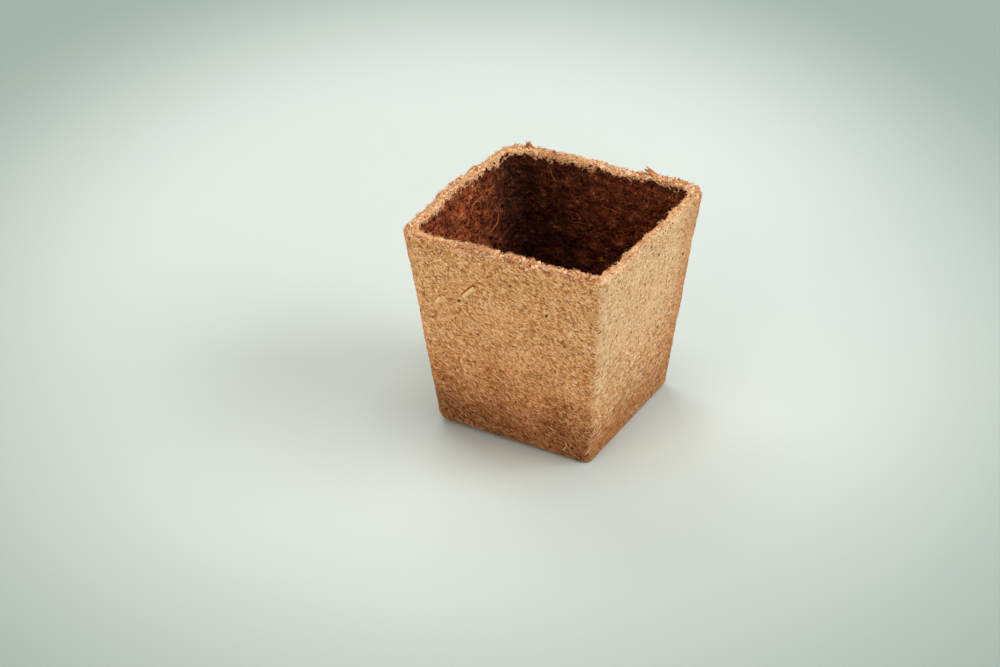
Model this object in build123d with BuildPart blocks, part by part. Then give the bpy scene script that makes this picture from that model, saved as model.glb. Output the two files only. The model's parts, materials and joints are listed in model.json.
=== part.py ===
from build123d import *

import os
from math import atan2, cos, radians, sin

# Square tapered plant pot pressed from peat and plant fibre.
#
# The wall is two felted layers: a fine tan skin outside and a coarse red-brown mat inside.
# Straw slivers and bark flecks are pressed into the skin, loose fibre strands lie on the mat,
# and torn crumbs, a splinter and a tuft stand on the trimmed rim.
#
# Millimetres, +Z up, origin in the middle of the base, on the surface that the pot stands on.
# The front wall faces -Y and the right wall faces +X.

os.makedirs("parts", exist_ok=True)

# Outside of the pot
rim_side = 60.0
base_side = 45.4
pot_height = 58.7
rim_corner_radius = 5.0
base_corner_radius = 2.4
base_edge_radius = 1.0
rim_edge_radius = 0.6

# Fine outer skin
skin_thickness = 1.4
skin_floor_thickness = 1.4
skin_rim_corner_radius = 4.2
skin_base_corner_radius = 2.0
skin_base_edge_radius = 0.9

# Coarse inner mat
mat_thickness = 1.8
mat_floor_thickness = 1.8
mat_rim_corner_radius = 3.4
mat_base_corner_radius = 1.8
mat_base_edge_radius = 1.2

# Peat clumps that stand out of the mat's inner walls, in staggered rows
clump_height = 0.7
clump_radius = 2.9
clump_pitch = 7.0
clump_scatter = 0.9
clump_margin = 1.0
clump_sides = 5
clump_taper = 62.0
clump_turn = 137.5

# Straw slivers pressed into the front wall
large_sliver_length = 5.6
large_sliver_width = 1.3
small_sliver_length = 2.9
small_sliver_width = 0.8
upper_sliver_length = 3.0
upper_sliver_width = 0.7
sliver_depth = 0.35
sliver_proud = 0.15
sliver_corner_share = 0.4
large_sliver_place_shares = (-0.154, 0.787)
small_sliver_place_shares = (-0.308, 0.703)
upper_sliver_place_shares = (-0.293, 0.914)
large_sliver_tilt = 47.0
small_sliver_tilt = 54.0
upper_sliver_tilt = 24.0

# Bark flecks pressed into every wall
fleck_length = 1.3
fleck_width = 0.6
fleck_depth = 0.3
fleck_proud = 0.1
fleck_place_shares = (
    (-0.166, 0.555), (-0.123, 0.565), (0.054, 0.88), (-0.19, 0.19), (0.172, 0.43), (0.22, 0.77))
fleck_tilts = (20.0, -35.0, 60.0, 10.0, -50.0, 75.0)

# Gap left all round a chip in its pocket
chip_clearance = 0.03

# Torn crumbs on the rim
crumb_radius = 0.9
crumb_height = 0.9
crumb_sides = 5
crumb_taper = 28.0
crumb_place_shares = {
    "front": (-0.08, 0.0, 0.06, 0.17, 0.3),
    "right": (-0.26, -0.12, 0.05, 0.21),
    "back": (-0.364, -0.12, 0.0, 0.13, 0.27),
    "left": (-0.3, -0.17, -0.02, 0.14, 0.28),
}

# Splinter torn up from the back rim
splinter_length = 5.6
splinter_rise = 2.2
splinter_foot = 2.6
splinter_tip = 0.5
splinter_width = 0.9
splinter_place_share = -0.287

# Tuft at the back of the left rim
tuft_radius = 1.2
tuft_tip_radius = 0.4
tuft_height = 1.6
tuft_lean = 0.7
tuft_sides = 6
tuft_place_share = 0.37

# Fibre strands on the inside of the mat: along, up, chord and bow as shares, and their turns
strand_diameter = 0.45
strand_length = 9.0
strand_clearance = 0.05
strand_shares = {
    "front": (
        (-0.2, 0.82, 0.7, 0.18), (0.1, 0.76, 1.0, -0.22), (-0.12, 0.5, 0.8, 0.2), (0.16, 0.45, 0.6, -0.15)),
    "right": (
        (-0.16, 0.86, 0.8, -0.2), (0.18, 0.76, 0.9, 0.2), (-0.1, 0.58, 0.7, 0.25), (0.12, 0.49, 0.8, -0.18)),
    "back": (
        (0.2, 0.91, 0.6, 0.15), (-0.07, 0.82, 0.9, -0.12), (0.08, 0.75, 0.7, 0.2), (-0.14, 0.56, 0.8, 0.22)),
    "left": (
        (-0.2, 0.9, 0.6, 0.16), (-0.18, 0.77, 1.0, -0.24), (0.05, 0.86, 0.7, 0.22), (0.1, 0.6, 0.9, 0.2)),
}
strand_turns = {
    "front": (15.0, -30.0, 70.0, -10.0),
    "right": (-25.0, 40.0, -5.0, 65.0),
    "back": (-30.0, 8.0, 35.0, -15.0),
    "left": (0.0, -34.0, 55.0, 20.0),
}

# How far every cut runs past the faces that it opens
cut_overrun = 1.0

wall_thickness = skin_thickness + mat_thickness
wall_draft = atan2((rim_side - base_side) / 2, pot_height)
wall_turns = {"front": 0, "right": 90, "back": 180, "left": 270}


def at_height(base_value, rim_value, height):
    """A size that grows evenly from the base to the rim."""
    return base_value + (rim_value - base_value) * height / pot_height


def tapered_block(inset, floor, base_radius, rim_radius, edge_radius, top):
    """A block with the pot's taper, set in from its outside, from floor up to top."""
    with BuildPart() as block:
        for height in (floor, top):
            side = at_height(base_side, rim_side, height) - 2 * inset
            with BuildSketch(Plane.XY.offset(height)):
                RectangleRounded(side, side, at_height(base_radius, rim_radius, height))
        loft(ruled=True)
        fillet(block.faces().sort_by(Axis.Z)[0].edges(), edge_radius)
    return block.part


def wall_plane(wall, inset, along, height):
    """A plane on a wall: X runs along the wall, Y up it and Z out of the pot."""
    turn = wall_turns[wall]
    origin = Vector(along, inset - at_height(base_side, rim_side, height) / 2, height)
    outward = Vector(0, -cos(wall_draft), -sin(wall_draft))
    return Plane(
        origin=origin.rotate(Axis.Z, turn),
        x_dir=Vector(1, 0, 0).rotate(Axis.Z, turn),
        z_dir=outward.rotate(Axis.Z, turn),
    )


def turned(plane, turn):
    """The same plane with its X and Y turned about its Z."""
    x_dir = plane.x_dir.rotate(Axis((0, 0, 0), plane.z_dir), turn)
    return Plane(origin=plane.origin, x_dir=x_dir, z_dir=plane.z_dir)


def rim_plane(wall, along, inset):
    """A plane on the rim: X runs along the wall, Y into the pot and Z up."""
    turn = wall_turns[wall]
    origin = Vector(along, inset - rim_side / 2, pot_height)
    return Plane(
        origin=origin.rotate(Axis.Z, turn),
        x_dir=Vector(1, 0, 0).rotate(Axis.Z, turn),
        z_dir=(0, 0, 1),
    )


def clump_places():
    """Middles of the clumps on one inner wall, with every other row half a step aside."""
    flat_floor = skin_floor_thickness + mat_floor_thickness + mat_base_edge_radius
    lowest = flat_floor + clump_margin + clump_radius + clump_scatter
    highest = pot_height - rim_edge_radius - clump_margin - clump_radius - clump_scatter
    rows = int((highest - lowest) / clump_pitch) + 1
    places = []
    for row in range(rows):
        height = lowest + row * clump_pitch
        corner_radius = at_height(mat_base_corner_radius, mat_rim_corner_radius, height)
        flat = at_height(base_side, rim_side, height) / 2 - wall_thickness - corner_radius
        reach = flat - clump_radius - clump_scatter
        columns = 2 * int(reach / clump_pitch) + 1 + row % 2
        for column in range(columns):
            turn = radians(clump_turn * len(places))
            along = (column - (columns - 1) / 2) * clump_pitch
            if abs(along) <= reach:
                places.append((along + clump_scatter * cos(turn), height + clump_scatter * sin(turn)))
    return places


def chip_plane(wall, place_shares, depth):
    """The plane under a chip that is pressed depth deep into a wall."""
    along_share, height_share = place_shares
    return wall_plane(wall, 0, along_share * rim_side, height_share * pot_height).offset(-depth)


def sliver_solid(plane, length, width, tilt, thickness):
    """A flat straw chip with rounded corners, standing on plane."""
    with BuildPart() as made:
        with BuildSketch(plane):
            RectangleRounded(length, width, sliver_corner_share * width, rotation=tilt)
        extrude(amount=thickness)
    return made.part


def fleck_solid(plane, length, width, tilt, thickness):
    """A flat square-cut bark chip, standing on plane."""
    with BuildPart() as made:
        with BuildSketch(plane):
            Rectangle(length, width, rotation=tilt)
        extrude(amount=thickness)
    return made.part


# Slivers by name: place, length, width and tilt
slivers = {
    "large_straw_sliver": (
        large_sliver_place_shares, large_sliver_length, large_sliver_width, large_sliver_tilt),
    "small_straw_sliver": (
        small_sliver_place_shares, small_sliver_length, small_sliver_width, small_sliver_tilt),
    "upper_straw_sliver": (
        upper_sliver_place_shares, upper_sliver_length, upper_sliver_width, upper_sliver_tilt),
}

# Pockets that the chips leave in the skin, each open past the wall's face
with BuildPart() as chip_pockets:
    gap = 2 * chip_clearance
    for place_shares, length, width, tilt in slivers.values():
        plane = chip_plane("front", place_shares, sliver_depth + chip_clearance)
        add(sliver_solid(plane, length + gap, width + gap, tilt, sliver_depth + cut_overrun))
    for wall in wall_turns:
        for place_shares, tilt in zip(fleck_place_shares, fleck_tilts):
            plane = chip_plane(wall, place_shares, fleck_depth + chip_clearance)
            add(fleck_solid(plane, fleck_length + gap, fleck_width + gap, tilt, fleck_depth + cut_overrun))

# Outer skin: walls and floor in one pressing
with BuildPart() as outer_skin:
    add(tapered_block(0, 0, base_corner_radius, rim_corner_radius, base_edge_radius, pot_height))
    add(
        tapered_block(
            skin_thickness, skin_floor_thickness, skin_base_corner_radius,
            skin_rim_corner_radius, skin_base_edge_radius, pot_height + cut_overrun),
        mode=Mode.SUBTRACT,
    )
    fillet(outer_skin.faces().sort_by(Axis.Z)[-1].outer_wire().edges(), rim_edge_radius)
    add(chip_pockets.part, mode=Mode.SUBTRACT)
outer_skin.part.label = "outer_skin"
export_step(outer_skin.part, "parts/outer_skin.step")

# Inner mat: lies against the skin all over, with its inner rim edge rounded off and clumps on its walls
with BuildPart() as inner_mat:
    add(
        tapered_block(
            skin_thickness, skin_floor_thickness, skin_base_corner_radius,
            skin_rim_corner_radius, skin_base_edge_radius, pot_height)
    )
    add(
        tapered_block(
            wall_thickness, skin_floor_thickness + mat_floor_thickness, mat_base_corner_radius,
            mat_rim_corner_radius, mat_base_edge_radius, pot_height + cut_overrun),
        mode=Mode.SUBTRACT,
    )
    fillet(inner_mat.faces().sort_by(Axis.Z)[-1].inner_wires()[0].edges(), rim_edge_radius)
    for wall in wall_turns:
        for number, (along, height) in enumerate(clump_places()):
            foot = wall_plane(wall, wall_thickness, along, height)
            with BuildSketch(-turned(foot, number * clump_turn)):
                RegularPolygon(clump_radius, clump_sides)
    extrude(amount=clump_height, taper=clump_taper)
inner_mat.part.label = "inner_mat"
export_step(inner_mat.part, "parts/inner_mat.step")

# Straw slivers, each in its pocket in the front wall
for name, (place_shares, length, width, tilt) in slivers.items():
    with BuildPart() as sliver:
        plane = chip_plane("front", place_shares, sliver_depth)
        add(sliver_solid(plane, length, width, tilt, sliver_depth + sliver_proud))
    sliver.part.label = name
    export_step(sliver.part, f"parts/{name}.step")

for wall in wall_turns:
    # Bark flecks in their pockets
    with BuildPart() as flecks:
        for place_shares, tilt in zip(fleck_place_shares, fleck_tilts):
            plane = chip_plane(wall, place_shares, fleck_depth)
            add(fleck_solid(plane, fleck_length, fleck_width, tilt, fleck_depth + fleck_proud))
    flecks.part.label = f"bark_flecks_{wall}"
    export_step(flecks.part, f"parts/bark_flecks_{wall}.step")

    # Crumbs along the middle of the trimmed rim
    with BuildPart() as crumbs:
        for along_share in crumb_place_shares[wall]:
            with BuildSketch(rim_plane(wall, along_share * rim_side, wall_thickness / 2)):
                RegularPolygon(crumb_radius, crumb_sides)
            extrude(amount=crumb_height, taper=crumb_taper)
    crumbs.part.label = f"rim_crumbs_{wall}"
    export_step(crumbs.part, f"parts/rim_crumbs_{wall}.step")

    # Bowed fibre strands just clear of the mat's clumps
    with BuildPart() as strands:
        strand_off_mat = clump_height + strand_clearance + strand_diameter / 2
        strand_inset = wall_thickness + strand_off_mat / cos(wall_draft)
        for shares, turn in zip(strand_shares[wall], strand_turns[wall]):
            along_share, height_share, chord_share, bow_share = shares
            chord = chord_share * strand_length
            plane = wall_plane(wall, strand_inset, along_share * rim_side, height_share * pot_height)
            with BuildLine(turned(plane, turn)) as route:
                SagittaArc((-chord / 2, 0), (chord / 2, 0), bow_share * chord)
            with BuildSketch(Plane(origin=route.line @ 0, z_dir=route.line % 0)):
                Circle(strand_diameter / 2)
            sweep(path=route.line)
    strands.part.label = f"inner_strands_{wall}"
    export_step(strands.part, f"parts/inner_strands_{wall}.step")

# Splinter: its foot lies on the back rim and its tip stands clear
with BuildPart() as rim_splinter:
    side_plane = rim_plane("back", splinter_place_share * rim_side, wall_thickness / 2)
    with BuildSketch(Plane(origin=side_plane.origin, x_dir=side_plane.x_dir, z_dir=-side_plane.y_dir)):
        with BuildLine():
            Polyline(
                (0, 0),
                (splinter_foot, 0),
                (splinter_length, splinter_rise - splinter_tip),
                (splinter_length, splinter_rise),
                (0, splinter_tip),
                close=True,
            )
        make_face()
    extrude(amount=splinter_width / 2, both=True)
rim_splinter.part.label = "rim_splinter"
export_step(rim_splinter.part, "parts/rim_splinter.step")

# Tuft: a leaning clump of fibre on the rim
with BuildPart() as rim_tuft:
    foot_plane = rim_plane("back", tuft_place_share * rim_side, wall_thickness / 2)
    with BuildSketch(foot_plane):
        RegularPolygon(tuft_radius, tuft_sides)
    with BuildSketch(foot_plane.offset(tuft_height)):
        with Locations((tuft_lean, 0)):
            RegularPolygon(tuft_tip_radius, tuft_sides)
    loft(ruled=True)
rim_tuft.part.label = "rim_tuft"
export_step(rim_tuft.part, "parts/rim_tuft.step")
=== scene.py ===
"""Looks of a small square plant pot pressed from peat and plant fibre.

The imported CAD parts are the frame. Felted meshes take the place of the two wall layers, and
scattered fibres, crumbs, strands, straw slivers and bark flecks take the place of the small parts.
Shapes are worked out in millimetres and written to Blender in metres.
"""

import json
import logging
import math
from dataclasses import dataclass, field
from enum import Enum
from itertools import product
from typing import Sequence

import bpy
import numpy as np
from mathutils import Matrix, Vector

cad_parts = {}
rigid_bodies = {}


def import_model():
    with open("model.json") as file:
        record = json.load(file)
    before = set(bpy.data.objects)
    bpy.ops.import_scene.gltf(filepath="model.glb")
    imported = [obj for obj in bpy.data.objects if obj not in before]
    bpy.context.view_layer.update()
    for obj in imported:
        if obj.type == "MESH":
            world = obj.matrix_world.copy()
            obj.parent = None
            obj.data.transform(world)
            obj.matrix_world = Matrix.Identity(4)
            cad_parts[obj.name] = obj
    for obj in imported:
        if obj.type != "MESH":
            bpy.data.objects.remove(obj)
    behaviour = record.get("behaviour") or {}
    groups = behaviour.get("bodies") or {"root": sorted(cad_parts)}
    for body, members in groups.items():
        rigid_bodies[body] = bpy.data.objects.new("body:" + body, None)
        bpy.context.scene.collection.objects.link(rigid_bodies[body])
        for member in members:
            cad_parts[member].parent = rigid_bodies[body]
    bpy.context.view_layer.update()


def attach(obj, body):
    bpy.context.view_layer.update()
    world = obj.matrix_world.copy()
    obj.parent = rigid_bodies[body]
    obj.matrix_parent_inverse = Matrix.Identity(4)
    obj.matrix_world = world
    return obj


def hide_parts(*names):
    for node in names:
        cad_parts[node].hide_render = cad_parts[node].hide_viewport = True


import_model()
MM = 0.001
MAP_SCALE = 100.0
BODY = "root"
log = logging.getLogger("pot")


class Wall(Enum):
    """The pot's four walls, each with its quarter turns from the front one."""

    FRONT = 0
    RIGHT = 1
    BACK = 2
    LEFT = 3

    @property
    def word(self) -> str:
        """The wall's name as node names have it."""
        return self.name.lower()


def linear(red: int, green: int, blue: int) -> tuple[float, float, float, float]:
    """Turns a colour as seen on a screen into the shader's linear values.

    Args:
        red, green, blue: Screen values from 0 to 255.

    Returns:
        Linear red, green, blue and a full alpha.
    """
    values = []
    for level in (red, green, blue):
        share = level / 255
        values.append(share / 12.92 if share <= 0.04045 else ((share + 0.055) / 1.055) ** 2.4)
    return values[0], values[1], values[2], 1.0


def smoothstep(low: float, high: float, value: np.ndarray) -> np.ndarray:
    """An even rise from 0 at low to 1 at high, with soft ends."""
    share = np.clip((np.asarray(value, float) - low) / (high - low), 0, 1)
    return share * share * (3 - 2 * share)


class Noise:
    """Smooth noise in space that is the same on every run."""

    def __init__(self, seed: int) -> None:
        """Makes the tables for one seed."""
        maker = np.random.default_rng(seed)
        self.order = maker.permutation(256)
        self.values = maker.uniform(-1, 1, 256)

    def at(self, points: np.ndarray) -> np.ndarray:
        """Noise from -1 to 1.

        Args:
            points: Places, shaped (..., 3), with one noise cell per unit.

        Returns:
            One value per place.
        """
        cell = np.floor(points).astype(int)
        part = points - cell
        soft = part ** 3 * (part * (part * 6 - 15) + 10)
        total = np.zeros(points.shape[:-1])
        for step in product((0, 1), repeat=3):
            index = self.order[(cell[..., 0] + step[0]) & 255]
            index = self.order[(index + cell[..., 1] + step[1]) & 255]
            index = self.order[(index + cell[..., 2] + step[2]) & 255]
            weight = np.ones(points.shape[:-1])
            for axis in range(3):
                weight = weight * (soft[..., axis] if step[axis] else 1 - soft[..., axis])
            total += weight * self.values[index]
        return total

    def rough(self, points: np.ndarray, layers: int = 3, gain: float = 0.55) -> np.ndarray:
        """Noise with finer layers on top, kept near -1 to 1.

        Args:
            points: Places, shaped (..., 3).
            layers: How many layers, each twice as fine.
            gain: How much each finer layer keeps.

        Returns:
            One value per place.
        """
        total = np.zeros(points.shape[:-1])
        weight, sum_weight = 1.0, 0.0
        for layer in range(layers):
            total += weight * self.at(points * 2 ** layer + 17.3 * layer)
            sum_weight += weight
            weight *= gain
        return total / sum_weight


@dataclass(frozen=True)
class PotShape:
    """The pot's main sizes in millimetres, as in its CAD source, and the columns that go round it."""

    rim_side: float = 60.0
    base_side: float = 45.4
    height: float = 58.7
    rim_radii: tuple[float, float, float, float] = (3.4, 4.4, 6.8, 6.8)
    base_radii: tuple[float, float, float, float] = (1.8, 1.4, 2.6, 2.0)
    skin: float = 1.4
    wall: float = 3.2
    floor: float = 3.2
    foot_radii: tuple[float, float, float, float] = (1.0, 1.2, 1.8, 2.6)
    flat_steps: int = 92
    corner_steps: int = 16
    mat_radii: tuple[float, float] = (1.8, 3.4)
    clump_height: float = 0.7
    clump_radius: float = 2.9
    clump_pitch: float = 7.0
    clump_scatter: float = 0.9
    clump_margin: float = 1.0
    clump_turn: float = 137.5

    @property
    def draft(self) -> float:
        """How far the walls lean out, in radians."""
        return math.atan2((self.rim_side - self.base_side) / 2, self.height)

    @property
    def block(self) -> int:
        """Columns in one wall with its two half corners."""
        return self.flat_steps + self.corner_steps

    @property
    def columns(self) -> int:
        """Columns all the way round."""
        return 4 * self.block

    def span(self, wall: Wall) -> np.ndarray:
        """The columns of a wall, and the first one of the next."""
        return (np.arange(self.block + 1) + wall.value * self.block) % self.columns

    def half_side(self, height: np.ndarray) -> np.ndarray:
        """Half the outside width at a height."""
        return (self.base_side + (self.rim_side - self.base_side) * height / self.height) / 2

    def corner_radius(self, height: np.ndarray, inset: np.ndarray) -> np.ndarray:
        """The corner's radius at a height, that far in from the outside."""
        low, high = self.by_column(self.base_radii), self.by_column(self.rim_radii)
        outside = low + (high - low) * height / self.height
        return np.maximum(outside - 0.35 * inset, 0.8)

    def by_column(self, corners: Sequence[float]) -> np.ndarray:
        """Spreads one value per corner over all columns, shaded evenly along the walls.

        Args:
            corners: Values of the corner after each wall.

        Returns:
            One value per column.
        """
        half = self.corner_steps // 2
        columns: list[float] = []
        for wall in Wall:
            before, after = corners[wall.value - 1], corners[wall.value]
            columns += [before] * half
            columns += list(np.linspace(before, after, self.flat_steps, endpoint=False))
            columns += [after] * half
        return np.array(columns)

    def layout(self) -> tuple[np.ndarray, np.ndarray, np.ndarray]:
        """Where each column stands on a square with rounded corners.

        Returns:
            The corner-centre shares (columns, 2), the outward directions (columns, 2) and
            how much each column belongs to a corner (columns,).
        """
        half = self.corner_steps // 2
        cores, outs, corners = [], [], []
        for step in range(half):
            angle = math.radians(-135 + 45 * step / half)
            cores.append((-1, -1))
            outs.append((math.cos(angle), math.sin(angle)))
            corners.append(1 - step / half)
        for step in range(self.flat_steps):
            cores.append((-1 + 2 * step / self.flat_steps, -1))
            outs.append((0, -1))
            corners.append(0)
        for step in range(half):
            angle = math.radians(-90 + 45 * step / half)
            cores.append((1, -1))
            outs.append((math.cos(angle), math.sin(angle)))
            corners.append(step / half)
        core, out = np.array(cores, float), np.array(outs, float)
        all_cores, all_outs = [], []
        for _ in Wall:
            all_cores.append(core)
            all_outs.append(out)
            core = np.stack([-core[:, 1], core[:, 0]], 1)
            out = np.stack([-out[:, 1], out[:, 0]], 1)
        return np.concatenate(all_cores), np.concatenate(all_outs), np.tile(corners, 4)

    def grid(self, heights: np.ndarray, insets: np.ndarray) -> np.ndarray:
        """Points of a surface that goes round the pot.

        Args:
            heights: Heights, shaped (rows, columns) or (rows, 1).
            insets: How far in from the outside, shaped alike.

        Returns:
            Points, shaped (rows, columns, 3).
        """
        core, out, _ = self.layout()
        radius = self.corner_radius(heights, insets)
        reach = self.half_side(heights) - insets - radius
        across = reach * core[:, 0] + radius * out[:, 0]
        along = reach * core[:, 1] + radius * out[:, 1]
        return np.stack([across, along, heights + np.zeros_like(across)], -1)

    def clump_places(self) -> np.ndarray:
        """Middles of the peat clumps on one inner wall, worked out as in the CAD source.

        Returns:
            Places along and up the wall, shaped (clumps, 2).
        """
        lowest = self.floor + 1.2 + self.clump_margin + self.clump_radius + self.clump_scatter
        highest = self.height - 0.6 - self.clump_margin - self.clump_radius - self.clump_scatter
        places: list[tuple[float, float]] = []
        for row in range(int((highest - lowest) / self.clump_pitch) + 1):
            height = lowest + row * self.clump_pitch
            corner = self.mat_radii[0] + (self.mat_radii[1] - self.mat_radii[0]) * height / self.height
            reach = float(self.half_side(height)) - self.wall - corner
            reach = reach - self.clump_radius - self.clump_scatter
            columns = 2 * int(reach / self.clump_pitch) + 1 + row % 2
            for column in range(columns):
                turn = math.radians(self.clump_turn * len(places))
                along = (column - (columns - 1) / 2) * self.clump_pitch
                if abs(along) <= reach:
                    places.append((
                        along + self.clump_scatter * math.cos(turn),
                        height + self.clump_scatter * math.sin(turn)))
        return np.array(places)

    def place(self, wall: Wall, along: float, height: float, inset: float = 0.0) -> Matrix:
        """A frame on a wall: X runs along the wall, Y up it and Z out of the pot.

        Args:
            wall: The wall.
            along: Millimetres from the wall's middle line.
            height: Millimetres above the base.
            inset: Millimetres in from the outside.

        Returns:
            The frame, with its origin in millimetres.
        """
        lean = self.draft
        columns = (
            Vector((1, 0, 0)),
            Vector((0, -math.sin(lean), math.cos(lean))),
            Vector((0, -math.cos(lean), -math.sin(lean))),
        )
        matrix = Matrix.Identity(4)
        for index, column in enumerate(columns):
            for row in range(3):
                matrix[row][index] = column[row]
        matrix.translation = Vector((along, inset - float(self.half_side(height)), height))
        return Matrix.Rotation(math.radians(90 * wall.value), 4, "Z") @ matrix


RIM_LEVELS = {
    Wall.FRONT: (
        (-30, 0.0), (-20, 0.1), (-12, 0.2), (-6, 0.5), (0, 0.4), (6, 0.3), (12, 0.6), (16, 0.0),
        (22, 0.3), (30, 0.5)),
    Wall.RIGHT: (
        (-30, 0.7), (-24, 0.8), (-20, -0.3), (-18, -0.8), (-15, -0.1), (-8, 0.1), (-2, 0.4), (2, -0.1),
        (6, -0.8), (14, -0.8), (20, -0.3), (30, 0.2)),
    Wall.BACK: (
        (-30, 0.2), (-22, 0.6), (-18, 0.6), (-14, 0.4), (-11, -0.3), (-4, 0.1), (4, 0.5), (10, 0.3),
        (18, 0.2), (24, 0.4), (30, 0.0)),
    Wall.LEFT: (
        (-30, -0.1), (-20, -0.2), (-12, 0.3), (-6, 0.3), (-2, 0.8), (2, 0.8), (8, 0.6), (12, 0.2),
        (20, 0.0), (30, 0.0)),
}
WALL_BOW = {Wall.FRONT: -0.25, Wall.RIGHT: 0.0, Wall.BACK: 0.1, Wall.LEFT: 0.5}
RIM_COVER = {Wall.FRONT: 1.3, Wall.RIGHT: 0.5, Wall.BACK: 1.0, Wall.LEFT: 0.8}
MAT_RISE = {Wall.FRONT: 0.6, Wall.RIGHT: 0.1, Wall.BACK: 0.1, Wall.LEFT: 0.2}
# Painted light: how much paler each wall is painted, most on the lit right wall.
WALL_PAINTED_LIGHT = {Wall.FRONT: 0.0, Wall.RIGHT: 1.0, Wall.BACK: 0.4, Wall.LEFT: 0.3}
# How dark each wall's foot gets: partly moisture and partly painted shade, darkest on the front wall.
FOOT_DAMP_AND_SHADE = {Wall.FRONT: 1.0, Wall.RIGHT: 0.42, Wall.BACK: 0.8, Wall.LEFT: 0.9}
# Painted light and shade on the inner walls: how light each one is kept, lightest on the left wall.
MAT_PAINTED_LIGHT = {Wall.FRONT: 0.5, Wall.RIGHT: 0.5, Wall.BACK: 0.78, Wall.LEFT: 0.95}
FIBRE_HEADING = {Wall.FRONT: -32.0, Wall.RIGHT: 24.0, Wall.BACK: 24.0, Wall.LEFT: -20.0}


def normals_of(grid: np.ndarray) -> np.ndarray:
    """Outward directions of a surface that goes round the pot, from its own points."""
    round_way = np.roll(grid, -1, 1) - np.roll(grid, 1, 1)
    up_way = np.gradient(grid, axis=0)
    normal = np.cross(round_way, up_way)
    return normal / np.maximum(np.linalg.norm(normal, axis=-1, keepdims=True), 1e-9)


def plain_mesh(name: str, points: np.ndarray, faces: Sequence[Sequence[int]]) -> bpy.types.Mesh:
    """Makes a smooth-shaded mesh.

    Args:
        name: The mesh's name.
        points: Corners in millimetres, shaped (n, 3).
        faces: Corner numbers of each face.

    Returns:
        The mesh, in metres.
    """
    mesh = bpy.data.meshes.new(name)
    mesh.from_pydata((np.asarray(points, float) * MM).tolist(), [], [list(face) for face in faces])
    mesh.update()
    mesh.polygons.foreach_set("use_smooth", [True] * len(mesh.polygons))
    return mesh


def add_values(mesh: bpy.types.Mesh, name: str, values: np.ndarray) -> None:
    """Writes one number per corner to a mesh, for its material or its scatter to read."""
    layer = mesh.attributes.new(name, "FLOAT", "POINT")
    layer.data.foreach_set("value", np.asarray(values, np.float32).ravel())


def add_directions(mesh: bpy.types.Mesh, points: np.ndarray) -> None:
    """Writes which way each corner's row runs to a mesh, for its scatter to read."""
    along = np.gradient(points, axis=1)
    along /= np.maximum(np.linalg.norm(along, axis=-1, keepdims=True), 1e-9)
    layer = mesh.attributes.new("along", "FLOAT_VECTOR", "POINT")
    layer.data.foreach_set("vector", along.astype(np.float32).ravel())


def show(name: str, mesh: bpy.types.Mesh, material: bpy.types.Material) -> bpy.types.Object:
    """Puts a mesh in the scene as a piece at the origin.

    Args:
        name: The piece's name.
        mesh: Its mesh, already in place.
        material: Its finish.

    Returns:
        The new object.
    """
    mesh.materials.clear()
    mesh.materials.append(material)
    piece = bpy.data.objects.new(name, mesh)
    bpy.context.scene.collection.objects.link(piece)
    return piece


def settle(piece: bpy.types.Object, nodes: Sequence[str] = ()) -> None:
    """Ties a finished piece to the pot.

    Args:
        piece: The piece.
        nodes: CAD nodes that it stands for.
    """
    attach(piece, BODY)
    if nodes:
        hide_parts(*nodes)
    log.info("%s: %d faces", piece.name, len(piece.data.polygons))


def ring_faces(rows: int, columns: int) -> list[tuple[int, int, int, int]]:
    """Four-sided faces between the rows of a surface that closes on itself."""
    faces = []
    for row in range(rows - 1):
        for column in range(columns):
            after = (column + 1) % columns
            faces.append(
                (row * columns + column, row * columns + after,
                 (row + 1) * columns + after, (row + 1) * columns + column))
    return faces


def patch_faces(rows: int, columns: int) -> list[tuple[int, int, int, int]]:
    """Four-sided faces between the rows of an open surface."""
    faces = []
    for row in range(rows - 1):
        for column in range(columns - 1):
            corner = row * columns + column
            faces.append((corner, corner + 1, corner + columns + 1, corner + columns))
    return faces


def closed_mesh(name: str, grid: np.ndarray) -> bpy.types.Mesh:
    """Makes a closed mesh from rows that go round the pot, with a fan in each end.

    Args:
        name: The mesh's name.
        grid: Points, shaped (rows, columns, 3), in millimetres.

    Returns:
        The mesh. Its last two corners are the middles of the two fans.
    """
    rows, columns = grid.shape[:2]
    faces: list[tuple[int, ...]] = list(ring_faces(rows, columns))
    first, last = rows * columns, rows * columns + 1
    for column in range(columns):
        after = (column + 1) % columns
        faces.append((first, after, column))
        faces.append((last, (rows - 1) * columns + column, (rows - 1) * columns + after))
    points = np.concatenate([grid.reshape(-1, 3), [grid[0].mean(0), grid[-1].mean(0)]])
    return plain_mesh(name, points, faces)


def tube(path: np.ndarray, radii: np.ndarray, sides: int, up: np.ndarray) -> tuple[np.ndarray, list]:
    """A closed thin tube along a path.

    Args:
        path: Points along it, shaped (n, 3).
        radii: Its radius at each point.
        sides: How many sides it has.
        up: A direction that the path never follows.

    Returns:
        Its corners and its faces.
    """
    ahead = np.gradient(path, axis=0)
    ahead /= np.linalg.norm(ahead, axis=1, keepdims=True)
    side = np.cross(up, ahead)
    side /= np.linalg.norm(side, axis=1, keepdims=True)
    top = np.cross(ahead, side)
    turns = np.arange(sides) * 2 * math.pi / sides
    ring = np.cos(turns)[None, :, None] * side[:, None] + np.sin(turns)[None, :, None] * top[:, None]
    points = (path[:, None] + radii[:, None, None] * ring).reshape(-1, 3)
    faces: list[tuple[int, ...]] = []
    for step in range(len(path) - 1):
        for turn in range(sides):
            after = (turn + 1) % sides
            faces.append(
                (step * sides + turn, step * sides + after,
                 (step + 1) * sides + after, (step + 1) * sides + turn))
    faces.append(tuple(reversed(range(sides))))
    faces.append(tuple(range((len(path) - 1) * sides, len(path) * sides)))
    return points, faces


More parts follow.
